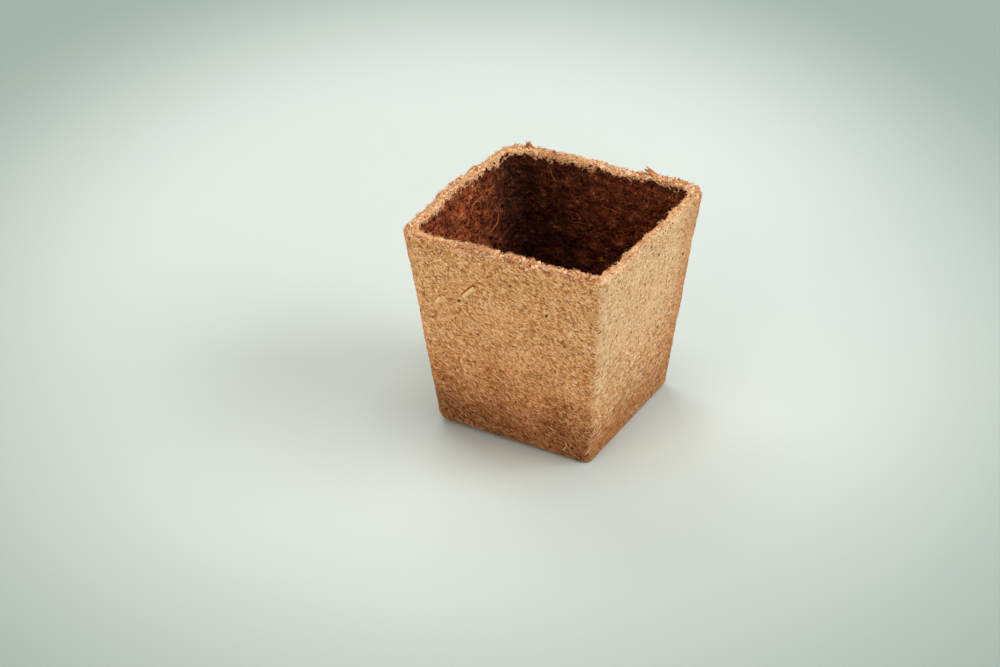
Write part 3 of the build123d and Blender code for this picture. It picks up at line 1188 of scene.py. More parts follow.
@dataclass
class OuterSkin:
    """The fine tan skin: walls, rounded base edge, underside and the outer half of the torn rim."""

    shape: PotShape
    row_step: float = 0.55
    base_edge: float = 1.0
    rim_edge: float = 1.2
    round_length: float = 228.0
    grid: np.ndarray | None = None
    edge_rows: tuple[int, int] = (0, 0)
    wall_rows: tuple[int, int] = (0, 0)
    rim_rows: tuple[int, int] = (0, 0)

    def rim_wave(self) -> np.ndarray:
        """How much higher or lower than its plain height the rim is at each column."""
        core, out, _ = self.shape.layout()
        ring = np.stack(
            [30 * core[:, 0] + 2 * out[:, 0], 30 * core[:, 1] + 2 * out[:, 1], 0 * core[:, 0]], 1)
        wave = []
        for wall in Wall:
            places, levels = np.array(RIM_LEVELS[wall]).T
            along = 27 * np.concatenate([
                np.linspace(-1.1, -1, self.shape.corner_steps // 2, endpoint=False),
                np.linspace(-1, 1, self.shape.flat_steps, endpoint=False),
                np.linspace(1, 1.1, self.shape.corner_steps // 2, endpoint=False)])
            wave.append(np.interp(along, places, levels))
        plain = np.concatenate(wave)
        soft = (np.roll(plain, 2) + np.roll(plain, 1) + plain + np.roll(plain, -1) + np.roll(plain, -2)) / 5
        return soft + 0.28 * Noise(12).rough(ring / 1.6, 3)

    def bow(self, heights: np.ndarray) -> np.ndarray:
        """How far each wall bows out near the rim, in millimetres."""
        half = self.shape.corner_steps // 2
        along = np.linspace(0, math.pi, self.shape.flat_steps, endpoint=False)
        belly = np.concatenate([np.zeros(half), np.sin(along), np.zeros(half)])
        walls = np.concatenate([WALL_BOW[wall] * belly for wall in Wall])
        return smoothstep(8, self.shape.height, heights) * walls[None, :]

    def rows(self) -> tuple[np.ndarray, np.ndarray]:
        """Heights and insets of the rows, from the middle of the underside to the middle of the inside."""
        tall = self.shape.height
        rows = [(0.0, inset) for inset in (20.5, 17.0, 13.0, 9.0, 6.0, 3.8)]
        start = len(rows)
        for step in range(7):
            angle = math.radians(90 * step / 6)
            rows.append((self.base_edge * (1 - math.cos(angle)), self.base_edge * (1 - math.sin(angle))))
        first = len(rows)
        self.edge_rows = (start, first)
        for height in np.arange(self.base_edge + self.row_step, tall - self.rim_edge, self.row_step):
            rows.append((float(height), 0.0))
        self.wall_rows = (first, len(rows))
        for step in range(6):
            angle = math.radians(90 * step / 5)
            drop, inset = 1 - math.sin(angle), 1 - math.cos(angle)
            rows.append((tall - self.rim_edge * drop, self.rim_edge * inset))
        rows.append((tall, 0.5 * (self.rim_edge + self.shape.skin)))
        rows.append((tall, self.shape.skin))
        self.rim_rows = (self.wall_rows[1], len(rows))
        for drop in (0.5, 1.5, 4.0, 12.0, 26.0, 42.0, 55.0):
            rows.append((tall - drop, self.shape.skin + 0.1))
        rows += [(self.shape.skin, inset) for inset in (4.0, 10.0, 17.0)]
        table = np.array(rows)
        return table[:, :1], table[:, 1:]

    def wear_foot(self, heights: np.ndarray, insets: np.ndarray) -> tuple[np.ndarray, np.ndarray]:
        """Rounds the edge round the base more at some corners than at others.

        Args:
            heights: Heights of the rows.
            insets: Insets of the rows.

        Returns:
            Both, one for each column.
        """
        foot = self.shape.by_column(self.shape.foot_radii)
        top = self.shape.height - self.rim_edge
        heights, insets = heights + 0 * foot, insets + 0 * foot
        edge, wall = slice(*self.edge_rows), slice(*self.wall_rows)
        heights[edge] *= foot / self.base_edge
        insets[edge] *= foot / self.base_edge
        heights[wall] = foot + (heights[wall] - self.base_edge) * (top - foot) / (top - self.base_edge)
        return heights, insets

    def lay(self) -> np.ndarray:
        """Works out the rough surface.

        Returns:
            Points, shaped (rows, columns, 3), in millimetres.
        """
        heights, insets = self.wear_foot(*self.rows())
        reach = smoothstep(self.shape.height - 9, self.shape.height, heights)
        grid = self.shape.grid(heights + reach * self.rim_wave()[None, :], insets - self.bow(heights))
        rows = np.arange(len(heights))[:, None]
        on_wall = smoothstep(self.wall_rows[0] - 5, self.wall_rows[0] + 4, rows)
        on_wall = on_wall * (rows < self.rim_rows[1])
        on_rim = smoothstep(self.rim_rows[0] - 3, self.rim_rows[0] + 2, rows) * (rows < self.rim_rows[1])
        push = 0.2 * Noise(21).at(grid / 9.0) + 0.1 * Noise(22).rough(grid / 2.2)
        push = push + 0.08 * Noise(23).rough(grid / 0.9)
        push = push * on_wall + 0.3 * on_rim * Noise(24).rough(grid / 1.2)
        self.grid = grid + normals_of(grid) * push[..., None]
        return self.grid

    def map_walls(self, mesh: bpy.types.Mesh) -> None:
        """Gives the mesh coordinates that run with each wall's fibre, in hundreds of millimetres."""
        rows, columns = self.grid.shape[:2]
        step = np.linalg.norm(np.diff(self.grid[:, :1], axis=0), axis=-1).ravel()
        up = np.concatenate([[0], np.cumsum(step)])
        around = np.linspace(0, self.round_length, columns + 1)
        layer = mesh.uv_layers.new(name="wall_map")
        corners = np.empty(len(mesh.loops), np.int32)
        mesh.loops.foreach_get("vertex_index", corners)
        row, column = np.minimum(corners // columns, rows - 1), corners % columns
        place = np.arange(len(corners))
        quads = (rows - 1) * columns * 4
        face_column = np.where(place < quads, (place // 4) % columns, column)
        wide = around[np.where((face_column == columns - 1) & (column == 0), columns, column)]
        turns = np.radians([FIBRE_HEADING[wall] for wall in Wall])[face_column // self.shape.block]
        along = wide * np.cos(turns) + up[row] * np.sin(turns)
        across = up[row] * np.cos(turns) - wide * np.sin(turns)
        layer.data.foreach_set("uv", (np.stack([along, across], 1) / MAP_SCALE).astype(np.float32).ravel())

    def build(self, finish: bpy.types.Material) -> bpy.types.Object:
        """Builds and dresses the skin.

        Args:
            finish: Its felt.

        Returns:
            The piece.
        """
        grid = self.lay()
        mesh = closed_mesh("pressed_skin", grid)
        # Painted light and shade for the felt: the corner's painted highlight, the foot's moisture and painted
        # shade, and the painted lit side.
        columns = (
            ("corner", self.front_corner() * (1 - self.front_corner(14.0))),
            ("damp", self.wall_columns(FOOT_DAMP_AND_SHADE)), ("pale", self.pale_columns()))
        for name, values in columns:
            add_values(mesh, name, np.concatenate([np.tile(values, len(grid)), [0, 0]]))
        # Wear on the right wall's back edge, and painted light colour at its foot.
        worn = self.worn(grid, np.arange(self.shape.columns))
        add_values(mesh, "worn", np.concatenate([worn.ravel(), [0, 0]]))
        self.map_walls(mesh)
        piece = show("pressed_skin", mesh, finish)
        settle(piece, ["outer_skin"])
        return piece

    def edge_columns(self, wall: Wall, before: float, after: float) -> np.ndarray:
        """A band round the corner after a wall.

        Args:
            wall: The wall before the corner.
            before: How far the band reaches back along that wall, in columns past the corner.
            after: How far it reaches along the next wall.

        Returns:
            1 in the corner, falling to 0 at the band's ends, for each column.
        """
        middle = (wall.value + 1) * self.shape.block
        half = self.shape.corner_steps / 2
        place = np.arange(self.shape.columns) - middle
        back = smoothstep(-half - before, -0.4 * half, place)
        ahead = 1 - smoothstep(0.6 * half, half + after, place)
        return back * ahead

    def wall_columns(self, values: dict[Wall, float]) -> np.ndarray:
        """Spreads one value per wall over all columns, with the change in the corners.

        Args:
            values: One value per wall.

        Returns:
            One value per column.
        """
        half = self.shape.corner_steps // 2
        columns = []
        for wall in Wall:
            here = values[wall]
            before = 0.5 * (here + values[Wall((wall.value - 1) % 4)])
            after = 0.5 * (here + values[Wall((wall.value + 1) % 4)])
            columns += [np.linspace(before, here, half), np.full(self.shape.flat_steps, here)]
            columns.append(np.linspace(here, after, half))
        return np.concatenate(columns)

    def front_corner(self, after: float = 0.0) -> np.ndarray:
        """A step from 0 to 1 at the corner between front and right, or some columns after it."""
        place = np.arange(self.shape.columns) - self.shape.block
        return smoothstep(-2.0 + 0.3 * after, 3.0 + 1.2 * after, place)

    def pale_columns(self) -> np.ndarray:
        """How much painted light the felt gets at each column: by wall, and as a painted highlight on the corner
        between front and right.
        """
        half = self.shape.corner_steps // 2
        middle = self.shape.block
        pale = self.wall_columns(WALL_PAINTED_LIGHT)
        pale[middle - half:middle + half] = self.front_corner()[middle - half:middle + half]
        return pale

    def worn(self, points: np.ndarray, columns: np.ndarray) -> np.ndarray:
        """How much wear the felt has on the right wall's back edge, and how much painted light colour the right
        wall's foot gets.

        Args:
            points: Points of the surface, shaped (rows, columns, 3).
            columns: The columns that they are in.

        Returns:
            1 on the edge with wear and on the painted foot, for each point.
        """
        edge = self.edge_columns(Wall.RIGHT, 24.0, 3.0)
        right = self.wall_columns({wall: float(wall is Wall.RIGHT) for wall in Wall})
        # Painted light: an orange tint at the right wall's foot for how the light falls there.
        foot = 0.9 * (1 - smoothstep(4, 15, points[..., 2]))
        return np.maximum(edge[columns], right[columns] * foot)

    def murk(self, points: np.ndarray, columns: np.ndarray) -> np.ndarray:
        """How much painted light the peat keeps: painted shade is darkest in the corner between back and left
        and under the back rim.

        Args:
            points: Points of the surface, shaped (rows, columns, 3).
            columns: The columns that they are in.

        Returns:
            1 where it is painted lightest, for each point.
        """
        # Painted shade: a level per wall, darkest in the corner between back and left and under the back rim.
        level = self.wall_columns(MAT_PAINTED_LIGHT) * (1 - 0.95 * self.edge_columns(Wall.BACK, 75.0, 34.0))
        back = self.wall_columns({wall: float(wall is Wall.BACK) for wall in Wall})
        return level[columns] * (1 - 0.5 * back[columns] * smoothstep(42, 54, points[..., 2]))

    def patch(
        self, wall: Wall, rows: tuple[int, int], name: str, cover: np.ndarray | None = None
    ) -> bpy.types.Mesh:
        """A wall's part of the surface, for a scatter to grow on.

        Args:
            wall: The wall.
            rows: First row and the row after the last.
            name: The mesh's name.
            cover: How densely each corner is covered, shaped (rows, columns of the wall plus one).

        Returns:
            The mesh.
        """
        columns = self.shape.span(wall)
        points = self.grid[rows[0]:rows[1]][:, columns]
        tall, wide = points.shape[:2]
        mesh = plain_mesh(name, points.reshape(-1, 3), patch_faces(tall, wide))
        add_values(mesh, "cover", np.ones((tall, wide)) if cover is None else cover)
        add_directions(mesh, points)
        # Painted light and shade level of the inside.
        add_values(mesh, "murk", self.murk(points, columns))
        # Wear, with painted light colour at the right wall's foot.
        add_values(mesh, "worn", self.worn(points, columns))
        # Moisture and painted shade at the foot, and the painted lit side.
        for name, values in (("damp", self.wall_columns(FOOT_DAMP_AND_SHADE)), ("pale", self.pale_columns())):
            add_values(mesh, name, np.tile(values[columns], tall))
        return mesh


@dataclass
class InnerMat(OuterSkin):
    """The coarse mat inside: walls and floor of clumped peat, and the inner half of the torn rim."""

    floor_edge: float = 1.2

    def rows(self) -> tuple[np.ndarray, np.ndarray]:
        """Heights and insets of the rows, from under its floor, up the skin and down the inside."""
        tall, skin, wall = self.shape.height, self.shape.skin, self.shape.wall
        edge = 0.7
        rows = [(skin, inset) for inset in (17.0, 10.0, 4.0, 2.2)]
        for height in (2.4, 8.0, 20.0, 36.0, 50.0, tall - 2.0, tall - 0.4):
            rows.append((height, skin - 0.05))
        first = len(rows)
        for inset in np.linspace(skin, wall - edge, 4):
            rows.append((tall - 0.1, float(inset)))
        for step in range(1, 5):
            angle = math.radians(90 * step / 4)
            rows.append((tall - 0.1 - edge * (1 - math.cos(angle)), wall - edge * (1 - math.sin(angle))))
        self.rim_rows = (first, len(rows))
        low = self.shape.floor + self.floor_edge
        for height in np.arange(tall - edge - self.row_step, low, -self.row_step):
            rows.append((float(height), wall))
        for step in range(5):
            angle = math.radians(90 * step / 4)
            drop, inset = math.sin(angle), 1 - math.cos(angle)
            rows.append((low - self.floor_edge * drop, wall + self.floor_edge * inset))
        for inset in (5.8, 6.8, 8.0, 9.5, 11.0, 13.0, 15.0, 17.0, 19.0, 21.0, 22.4):
            rows.append((self.shape.floor, inset))
        self.wall_rows = (self.rim_rows[1], len(rows))
        table = np.array(rows)
        return table[:, :1], table[:, 1:]

    def clumps(self, grid: np.ndarray) -> np.ndarray:
        """How far the peat clumps stand out of the inner walls.

        Args:
            grid: The plain surface's points, in millimetres.

        Returns:
            Millimetres for each point.
        """
        rise = np.zeros(grid.shape[:2])
        ragged = 0.8 * Noise(34).rough(grid / 1.8, 2)
        block = self.shape.block
        for wall in Wall:
            here = slice(wall.value * block, (wall.value + 1) * block)
            turn = math.radians(90 * wall.value)
            along = grid[:, here, 0] * math.cos(turn) + grid[:, here, 1] * math.sin(turn)
            for middle, height in self.shape.clump_places():
                far = np.hypot(along - middle, grid[:, here, 2] - height) + ragged[:, here]
                swell = 1 - smoothstep(0.9, self.shape.clump_radius, far)
                rise[:, here] = np.maximum(rise[:, here], self.shape.clump_height * swell)
        return rise

    def lay(self) -> np.ndarray:
        """Works out the clumped surface.

        Returns:
            Points, shaped (rows, columns, 3), in millimetres.
        """
        heights, insets = self.rows()
        reach = smoothstep(self.shape.height - 9, self.shape.height, heights)
        wave = self.rim_wave() + self.wall_columns(MAT_RISE)
        grid = self.shape.grid(heights + reach * wave[None, :], insets - self.bow(heights))
        rows = np.arange(len(heights))[:, None]
        inside = smoothstep(self.rim_rows[1] - 4, self.rim_rows[1] + 8, rows)
        on_rim = smoothstep(self.rim_rows[0] - 1, self.rim_rows[0] + 1, rows) * (1 - 0.7 * inside)
        ridge = 1 - 2 * np.abs(Noise(31).rough(grid / np.array([5.0, 5.0, 2.0]), 3))
        push = self.clumps(grid) + 0.4 * (ridge - 0.6) + 0.4 * Noise(32).rough(grid / 1.3)
        push = push * inside + 0.55 * on_rim * Noise(33).rough(grid / 1.4)
        self.grid = grid + normals_of(grid) * push[..., None]
        return self.grid

    def build(self, finish: bpy.types.Material) -> bpy.types.Object:
        """Builds and dresses the mat.

        Args:
            finish: Its peat.

        Returns:
            The piece.
        """
        self.row_step = 0.45
        grid = self.lay()
        mesh = closed_mesh("coarse_mat", grid)
        rows = np.arange(len(grid))[:, None] + np.zeros((1, self.shape.columns))
        rim = 1 - smoothstep(self.rim_rows[1] - 4, self.rim_rows[1] + 5, rows)
        add_values(mesh, "rim", np.concatenate([rim.ravel(), [0, 0]]))
        # Painted shade: how light each point of the peat is kept.
        murk = self.murk(grid, np.arange(self.shape.columns))
        add_values(mesh, "murk", np.concatenate([murk.ravel(), [0.7, 0.7]]))
        piece = show("coarse_mat", mesh, finish)
        settle(piece, ["inner_mat"])
        return piece


@dataclass
class FeltFibres:
    """Short fibres and dark specks that lie in the skin's surface on every wall."""

    skin: OuterSkin
    fibres: bpy.types.Collection
    specks: bpy.types.Collection
    fibre_scatter: Scatter
    speck_scatter: Scatter

    def build(self, fibre_finish: bpy.types.Material, speck_finish: bpy.types.Material) -> None:
        """Grows one piece of fibre and one of specks for each wall.

        Args:
            fibre_finish: The fibres' material.
            speck_finish: The specks' material.
        """
        rows = (self.skin.wall_rows[0] - 4, self.skin.rim_rows[0] + 4)
        for wall in Wall:
            for scatter in (self.fibre_scatter, self.speck_scatter):
                scatter.heading = FIBRE_HEADING[wall]
            ground = self.skin.patch(wall, rows, f"felt_ground_{wall.word}")
            self.fibre_scatter.piece(
                f"felt_fibres_{wall.word}", 100 + wall.value, ground, self.fibres, fibre_finish, "fine_skin")
            ground = self.skin.patch(wall, rows, f"speck_ground_{wall.word}")
            self.speck_scatter.piece(
                f"dark_specks_{wall.word}", 150 + wall.value, ground, self.specks, speck_finish, "bark")


@dataclass
class RimTear:
    """Crumbs, lumps, teeth and hairs on the torn rim, and the painted shadow of dark fibre in the seam under the
    front one's crumbs.
    """

    skin: OuterSkin
    mat: InnerMat
    crumbs: bpy.types.Collection
    hairs: bpy.types.Collection
    teeth: bpy.types.Collection
    crumb_scatter: Scatter
    hair_scatter: Scatter
    lump_scatter: Scatter
    tooth_scatter: Scatter

    def rim_patch(self, wall: Wall, name: str, seed: int, sharp: float) -> bpy.types.Mesh:
        """The rim of both layers over one wall, covered in drifts.

        Args:
            wall: The wall.
            name: The mesh's name.
            seed: Sets where the drifts are.
            sharp: How clearly drifts and bare stretches differ.

        Returns:
            The mesh.
        """
        columns = self.skin.shape.span(wall)
        outer = self.skin.grid[self.skin.rim_rows[0] + 1:self.skin.rim_rows[1]][:, columns]
        inner = self.mat.grid[self.mat.rim_rows[0]:self.mat.rim_rows[1] - 1][:, columns]
        points = np.concatenate([outer, inner])
        mesh = plain_mesh(name, points.reshape(-1, 3), patch_faces(*points.shape[:2]))
        drift = np.clip(0.6 + sharp * Noise(seed).rough(points / 4.0, 2), 0.12, 2.2)
        if wall is Wall.FRONT:
            drift = drift * (0.25 + 0.75 * smoothstep(-18, -9, points[..., 0]))
        add_values(mesh, "cover", RIM_COVER[wall] * drift)
        add_directions(mesh, points)
        return mesh

    def crack(self, finish: bpy.types.Material) -> None:
        """Lays dark red fibre in the seam under the front rim's crumbs, as painted shadow.

        Args:
            finish: Its material.
        """
        first = self.skin.rim_rows[0] + 2
        seam = self.skin.grid[first:first + 3, :self.skin.shape.block + 1]
        along = seam[..., 0]
        drift = np.clip(0.5 + 2 * Noise(44).rough(seam / 3.0, 2), 0, 1.5)
        cover = drift * smoothstep(-14, -8, along) * (1 - smoothstep(21, 25, along))
        ground = self.skin.patch(Wall.FRONT, (first, first + 3), "crack_ground", cover)
        # Painted shadow under the front rim's crumbs.
        scatter = Scatter(2.4, 0.8, 1.8, 6.0, spread=16.0)
        scatter.piece("rim_crack", 340, ground, self.hairs, finish, "crumb")

    def build(
        self, crumb_finish: bpy.types.Material, hair_finish: bpy.types.Material,
        shadow_fibre_finish: bpy.types.Material
    ) -> None:
        """Grows the seam's painted shadow, the teeth, the crumbs, the lumps and the hairs.

        Args:
            crumb_finish: The crumbs' material.
            hair_finish: The hairs' material.
            shadow_fibre_finish: The painted shadow's material in the seam under the crumbs.
        """
        # Painted shadow in the seam under the front rim's crumbs.
        self.crack(shadow_fibre_finish)
        for wall in (Wall.FRONT, Wall.BACK):
            ground = self.rim_patch(wall, f"tooth_ground_{wall.word}", 45, 2.0)
            self.tooth_scatter.piece(
                f"rim_teeth_{wall.word}", 270 + wall.value, ground, self.teeth, crumb_finish, "crumb")
        for wall in Wall:
            ground = self.rim_patch(wall, f"crumb_ground_{wall.word}", 41, 1.6)
            self.crumb_scatter.piece(
                f"rim_crumbs_{wall.word}_torn", 200 + wall.value, ground, self.crumbs, crumb_finish, "crumb",
                [f"rim_crumbs_{wall.word}"])
            ground = self.rim_patch(wall, f"lump_ground_{wall.word}", 43, 2.2)
            self.lump_scatter.piece(
                f"rim_lumps_{wall.word}", 250 + wall.value, ground, self.crumbs, crumb_finish, "crumb")
            ground = self.rim_patch(wall, f"hair_ground_{wall.word}", 42, 0.8)
            self.hair_scatter.piece(
                f"rim_hairs_{wall.word}", 300 + wall.value, ground, self.hairs, hair_finish, "crumb")


CURLS = (
    (Wall.LEFT, ((-15.0, 53.0), (-12.2, 53.6), (-9.6, 53.1)), 0.2),
    (Wall.LEFT, ((-14.6, 46.7), (-13.9, 44.3), (-12.5, 42.9), (-10.0, 41.9), (-7.3, 41.8)), 0.24),
    (Wall.LEFT, ((-8.4, 52.5), (-6.4, 53.4), (-4.2, 53.2)), 0.16),
    (Wall.LEFT, ((-6.5, 49.3), (-6.0, 52.2), (-3.4, 53.9), (-0.9, 52.4), (-1.2, 49.8)), 0.17),
    (Wall.LEFT, ((6.0, 50.5), (8.5, 49.0), (10.6, 49.3)), 0.14),
    (Wall.BACK, ((8.0, 41.4), (5.0, 42.5), (2.0, 42.2)), 0.18),
    (Wall.BACK, ((-0.6, 48.3), (-4.2, 48.6), (-8.2, 47.3)), 0.17),
    (Wall.BACK, ((14.5, 54.9), (13.4, 53.2), (11.8, 52.0)), 0.16),
    (Wall.BACK, ((11.9, 52.6), (9.4, 53.4), (6.5, 55.0)), 0.16),
    (Wall.BACK, ((-12.0, 44.0), (-14.5, 42.6), (-17.5, 43.0)), 0.14),
)


@dataclass
class InnerStrands:
    """What lies loose on the mat's inside: peat crumbs, a fine dark tangle and long golden strands."""

    mat: InnerMat
    fine_shapes: bpy.types.Collection
    long_shapes: bpy.types.Collection
    crumb_shapes: bpy.types.Collection
    fine_scatter: Scatter
    long_scatter: Scatter
    crumb_scatter: Scatter

    def curls(self, finish: bpy.types.Material) -> None:
        """Lays the strands that stand out most, each along its own bowed path.

        Args:
            finish: Their material.
        """
        parts, tones = [], []
        for number, (wall, marks, radius) in enumerate(CURLS):
            share = np.linspace(0, 1, 14)
            along, height = eased(marks, len(share), 3)
            lift = self.mat.shape.wall + 0.3 + 0.8 * np.sin(math.pi * share)
            path = np.array([
                tuple(self.mat.shape.place(wall, *spot).translation) for spot in zip(along, height, lift)])
            radii = 0.75 * radius * (0.5 + 0.5 * np.sin(math.pi * share))
            parts.append(tube(path, radii, 5, np.array([0.3, 0.2, 0.9])))
            # Painted light: curls on the lit left wall get paler tones than those on the back wall.
            tones += [(0.35 if wall is Wall.LEFT else 0.0) + 0.08 * (number % 4)] * len(parts[-1][0])
        mesh = plain_mesh("inner_curls", *joined(parts))
        add_values(mesh, "tone", np.array(tones))
        # Painted shade level for the curls.
        add_values(mesh, "murk", np.full(len(tones), 0.8))
        settle(show(mesh.name, mesh, finish))

    def build(
        self, fine_finish: bpy.types.Material, long_finish: bpy.types.Material,
        crumb_finish: bpy.types.Material
    ) -> None:
        """Grows every kind on every inner wall.

        Args:
            fine_finish: The tangle's material.
            long_finish: The long strands' material.
            crumb_finish: The peat crumbs' material.
        """
        self.curls(long_finish)
        first = self.mat.rim_rows[1] - 2
        last = self.mat.wall_rows[1]
        for wall in Wall:
            ground = self.mat.patch(wall, (first, last), f"tangle_ground_{wall.word}")
            self.fine_scatter.piece(
                f"inner_tangle_{wall.word}", 400 + wall.value, ground, self.fine_shapes, fine_finish, "strand")
            ground = self.mat.patch(wall, (first, last), f"peat_ground_{wall.word}")
            self.crumb_scatter.piece(
                f"peat_crumbs_{wall.word}", 450 + wall.value, ground, self.crumb_shapes, crumb_finish,
                "coarse_mat")
            ground = self.mat.patch(wall, (first, last - 12), f"strand_ground_{wall.word}")
            self.long_scatter.piece(
                f"golden_strands_{wall.word}", 500 + wall.value, ground, self.long_shapes, long_finish, "strand",
                [f"inner_strands_{wall.word}"])


@dataclass(frozen=True)
class Chip:
    """One chip pressed into a wall."""

    wall: Wall
    along: float
    height: float
    tilt: float
    length: float
    width: float
    proud: float


STRAY_HAIRS = (
    ((15.2, 2.5), (16.2, 3.7), (16.6, 5.3)), ((21.7, 3.0), (22.9, 4.6), (23.4, 6.6)),
    ((17.0, 45.9), (19.4, 45.0), (21.8, 44.9)), ((8.2, 51.6), (8.5, 49.8), (9.3, 48.2)),
    ((-3.0, 21.0), (-1.2, 20.2), (0.4, 20.4)), ((24.0, 38.0), (25.2, 36.2), (25.6, 33.6)))


@dataclass
class PressedChips:
    """Straw slivers and bark flecks that show in the felt."""

    shape: PotShape
    slivers: dict[str, Chip] = field(default_factory=lambda: {
        "large_straw_sliver": Chip(Wall.FRONT, -9.2, 46.2, 47, 5.6, 1.3, 0.36),
        "small_straw_sliver": Chip(Wall.FRONT, -18.5, 41.3, 54, 2.9, 1.05, 0.5),
        "upper_straw_sliver": Chip(Wall.FRONT, -17.6, 53.7, 24, 3.0, 0.6, 0.16),
    })
    fleck_places: tuple = (
        (-9.96, 32.6, 20), (-7.4, 33.2, -35), (3.24, 51.6, 60), (-11.4, 11.2, 10),
        (10.3, 25.2, -50), (13.2, 45.2, 75))
    more_flecks: dict[Wall, tuple] = field(default_factory=lambda: {
        Wall.FRONT: (
            (-22.4, 26.5, 40), (-14.8, 42.4, -20), (-12.3, 42.5, 65), (13.8, 15.7, 30), (14.2, 14.0, -15)),
        Wall.RIGHT: ((-2.5, 56.8, 10), (20.0, 43.2, 70), (-12.4, 28.1, 35), (-1.5, 40.2, -30)),
    })

    def chip_points(self, chip: Chip, steps: int, ribs: int, seed: int) -> tuple[np.ndarray, list]:
        """A chip with split ends and grooves along it.

        Args:
            chip: Its place and size.
            steps: Faces along it.
            ribs: Faces across it.
            seed: Sets its ragged outline.

        Returns:
            Its corners in millimetres and its faces.
        """
        noise = Noise(seed)
        frame_here = self.shape.place(chip.wall, chip.along, chip.height) @ Matrix.Rotation(
            math.radians(chip.tilt), 4, "Z")
        points = []
        for layer in (1, 0):
            for step in range(steps + 1):
                for rib in range(ribs + 1):
                    share, cross = step / steps - 0.5, rib / ribs - 0.5
                    ragged = 1 + 0.12 * float(noise.at(np.array([[share * 3, 0.3, layer]]))[0])
                    tip = 1.0 if share > 0 else 7.0
                    ends = 0.06 * float(noise.at(np.array([[cross * 5, 4.1, tip]]))[0])
                    x = chip.length * (share + ends * abs(share) * 2)
                    y = chip.width * cross * ragged * (1 - 0.35 * abs(2 * share) ** 6)
                    crown = 1 - abs(2 * cross) ** 3
                    groove = 0.35 * float(noise.at(np.array([[cross * 6, share * 1.3, 2.2]]))[0])
                    z = chip.proud * (crown * (0.8 + groove)) if layer else -0.35
                    if layer and (abs(cross) > 0.49 or abs(share) > 0.499):
                        z = -0.1
                    points.append(frame_here @ Vector((x, y, z)))
        wide = ribs + 1
        layer_size = wide * (steps + 1)
        faces: list[tuple[int, ...]] = []
        for step in range(steps):
            for rib in range(ribs):
                corner = step * wide + rib
                faces.append((corner, corner + wide, corner + wide + 1, corner + 1))
                under = corner + layer_size
                faces.append((under, under + 1, under + wide + 1, under + wide))
        border = [rib for rib in range(ribs)]
        border += [step * wide + ribs for step in range(steps)]
        border += [steps * wide + rib for rib in range(ribs, 0, -1)]
        border += [step * wide for step in range(steps, 0, -1)]
        for index, corner in enumerate(border):
            after = border[(index + 1) % len(border)]
            faces.append((corner, after, after + layer_size, corner + layer_size))
        return np.array([tuple(point) for point in points]), faces

    def stray_hairs(self, straw: bpy.types.Material) -> None:
        """Lays the few pale hairs that show on the front wall.

        Args:
            straw: Their material.
        """
        parts = []
        for marks in STRAY_HAIRS:
            path = np.array([
                tuple(self.shape.place(Wall.FRONT, *spot, -0.15).translation)
                for spot in zip(*eased(marks, 9, 2))])
            radii = 0.1 * np.sin(np.linspace(0.3, 2.8, 9))
            parts.append(tube(path, radii, 4, np.array([0.1, 0.9, 0.2])))
        mesh = plain_mesh("stray_hairs", *joined(parts))
        add_values(mesh, "tone", np.full(len(mesh.vertices), 0.5))
        settle(show(mesh.name, mesh, straw))

    def build(self, straw: bpy.types.Material, bark: bpy.types.Material) -> None:
        """Builds the slivers, the hairs, the painted shadow round two slivers and the flecks.

        Args:
            straw: The slivers' material.
            bark: The flecks' material, also used for the painted shadow round two slivers.
        """
        self.stray_hairs(straw)
        for number, (name, chip) in enumerate(self.slivers.items()):
            mesh = plain_mesh(name + "_split", *self.chip_points(chip, 18, 7, 60 + number))
            corners = np.array([tuple(corner.co) for corner in mesh.vertices])
            tones = Noise(70 + number).rough(corners / MM / 0.5) * 0.4 + 0.55
            add_values(mesh, "tone", tones)
            settle(show(mesh.name, mesh, straw), [name])
        # Painted shadow: a dark bark chip under each of the two large slivers, a little longer and shifted
        # sideways, stands for the shadow round them.
        for number, name in enumerate(("large_straw_sliver", "small_straw_sliver")):
            chip = self.slivers[name]
            turn = math.radians(chip.tilt)
            slot = Chip(
                chip.wall, chip.along - 0.2 * math.sin(turn), chip.height + 0.2 * math.cos(turn), chip.tilt,
                1.08 * chip.length, chip.width, 0.15)
            mesh = plain_mesh(name + "_slot", *self.chip_points(slot, 14, 5, 65 + number))
            add_values(mesh, "tone", np.full(len(mesh.vertices), 0.75))
            settle(show(mesh.name, mesh, bark))
        for wall in Wall:
            parts, tones = [], []
            places = self.fleck_places + self.more_flecks.get(wall, ())
            for number, (along, height, tilt) in enumerate(places):
                chip = Chip(wall, along, height, tilt, 0.9, 0.5, 0.16)
                parts.append(self.chip_points(chip, 6, 4, 80 + number + 10 * wall.value))
                tones += [0.2 + 0.1 * (number % 4)] * len(parts[-1][0])
            mesh = plain_mesh(f"bark_flecks_{wall.word}_pressed", *joined(parts))
            add_values(mesh, "tone", np.array(tones))
            settle(show(mesh.name, mesh, bark), [f"bark_flecks_{wall.word}"])


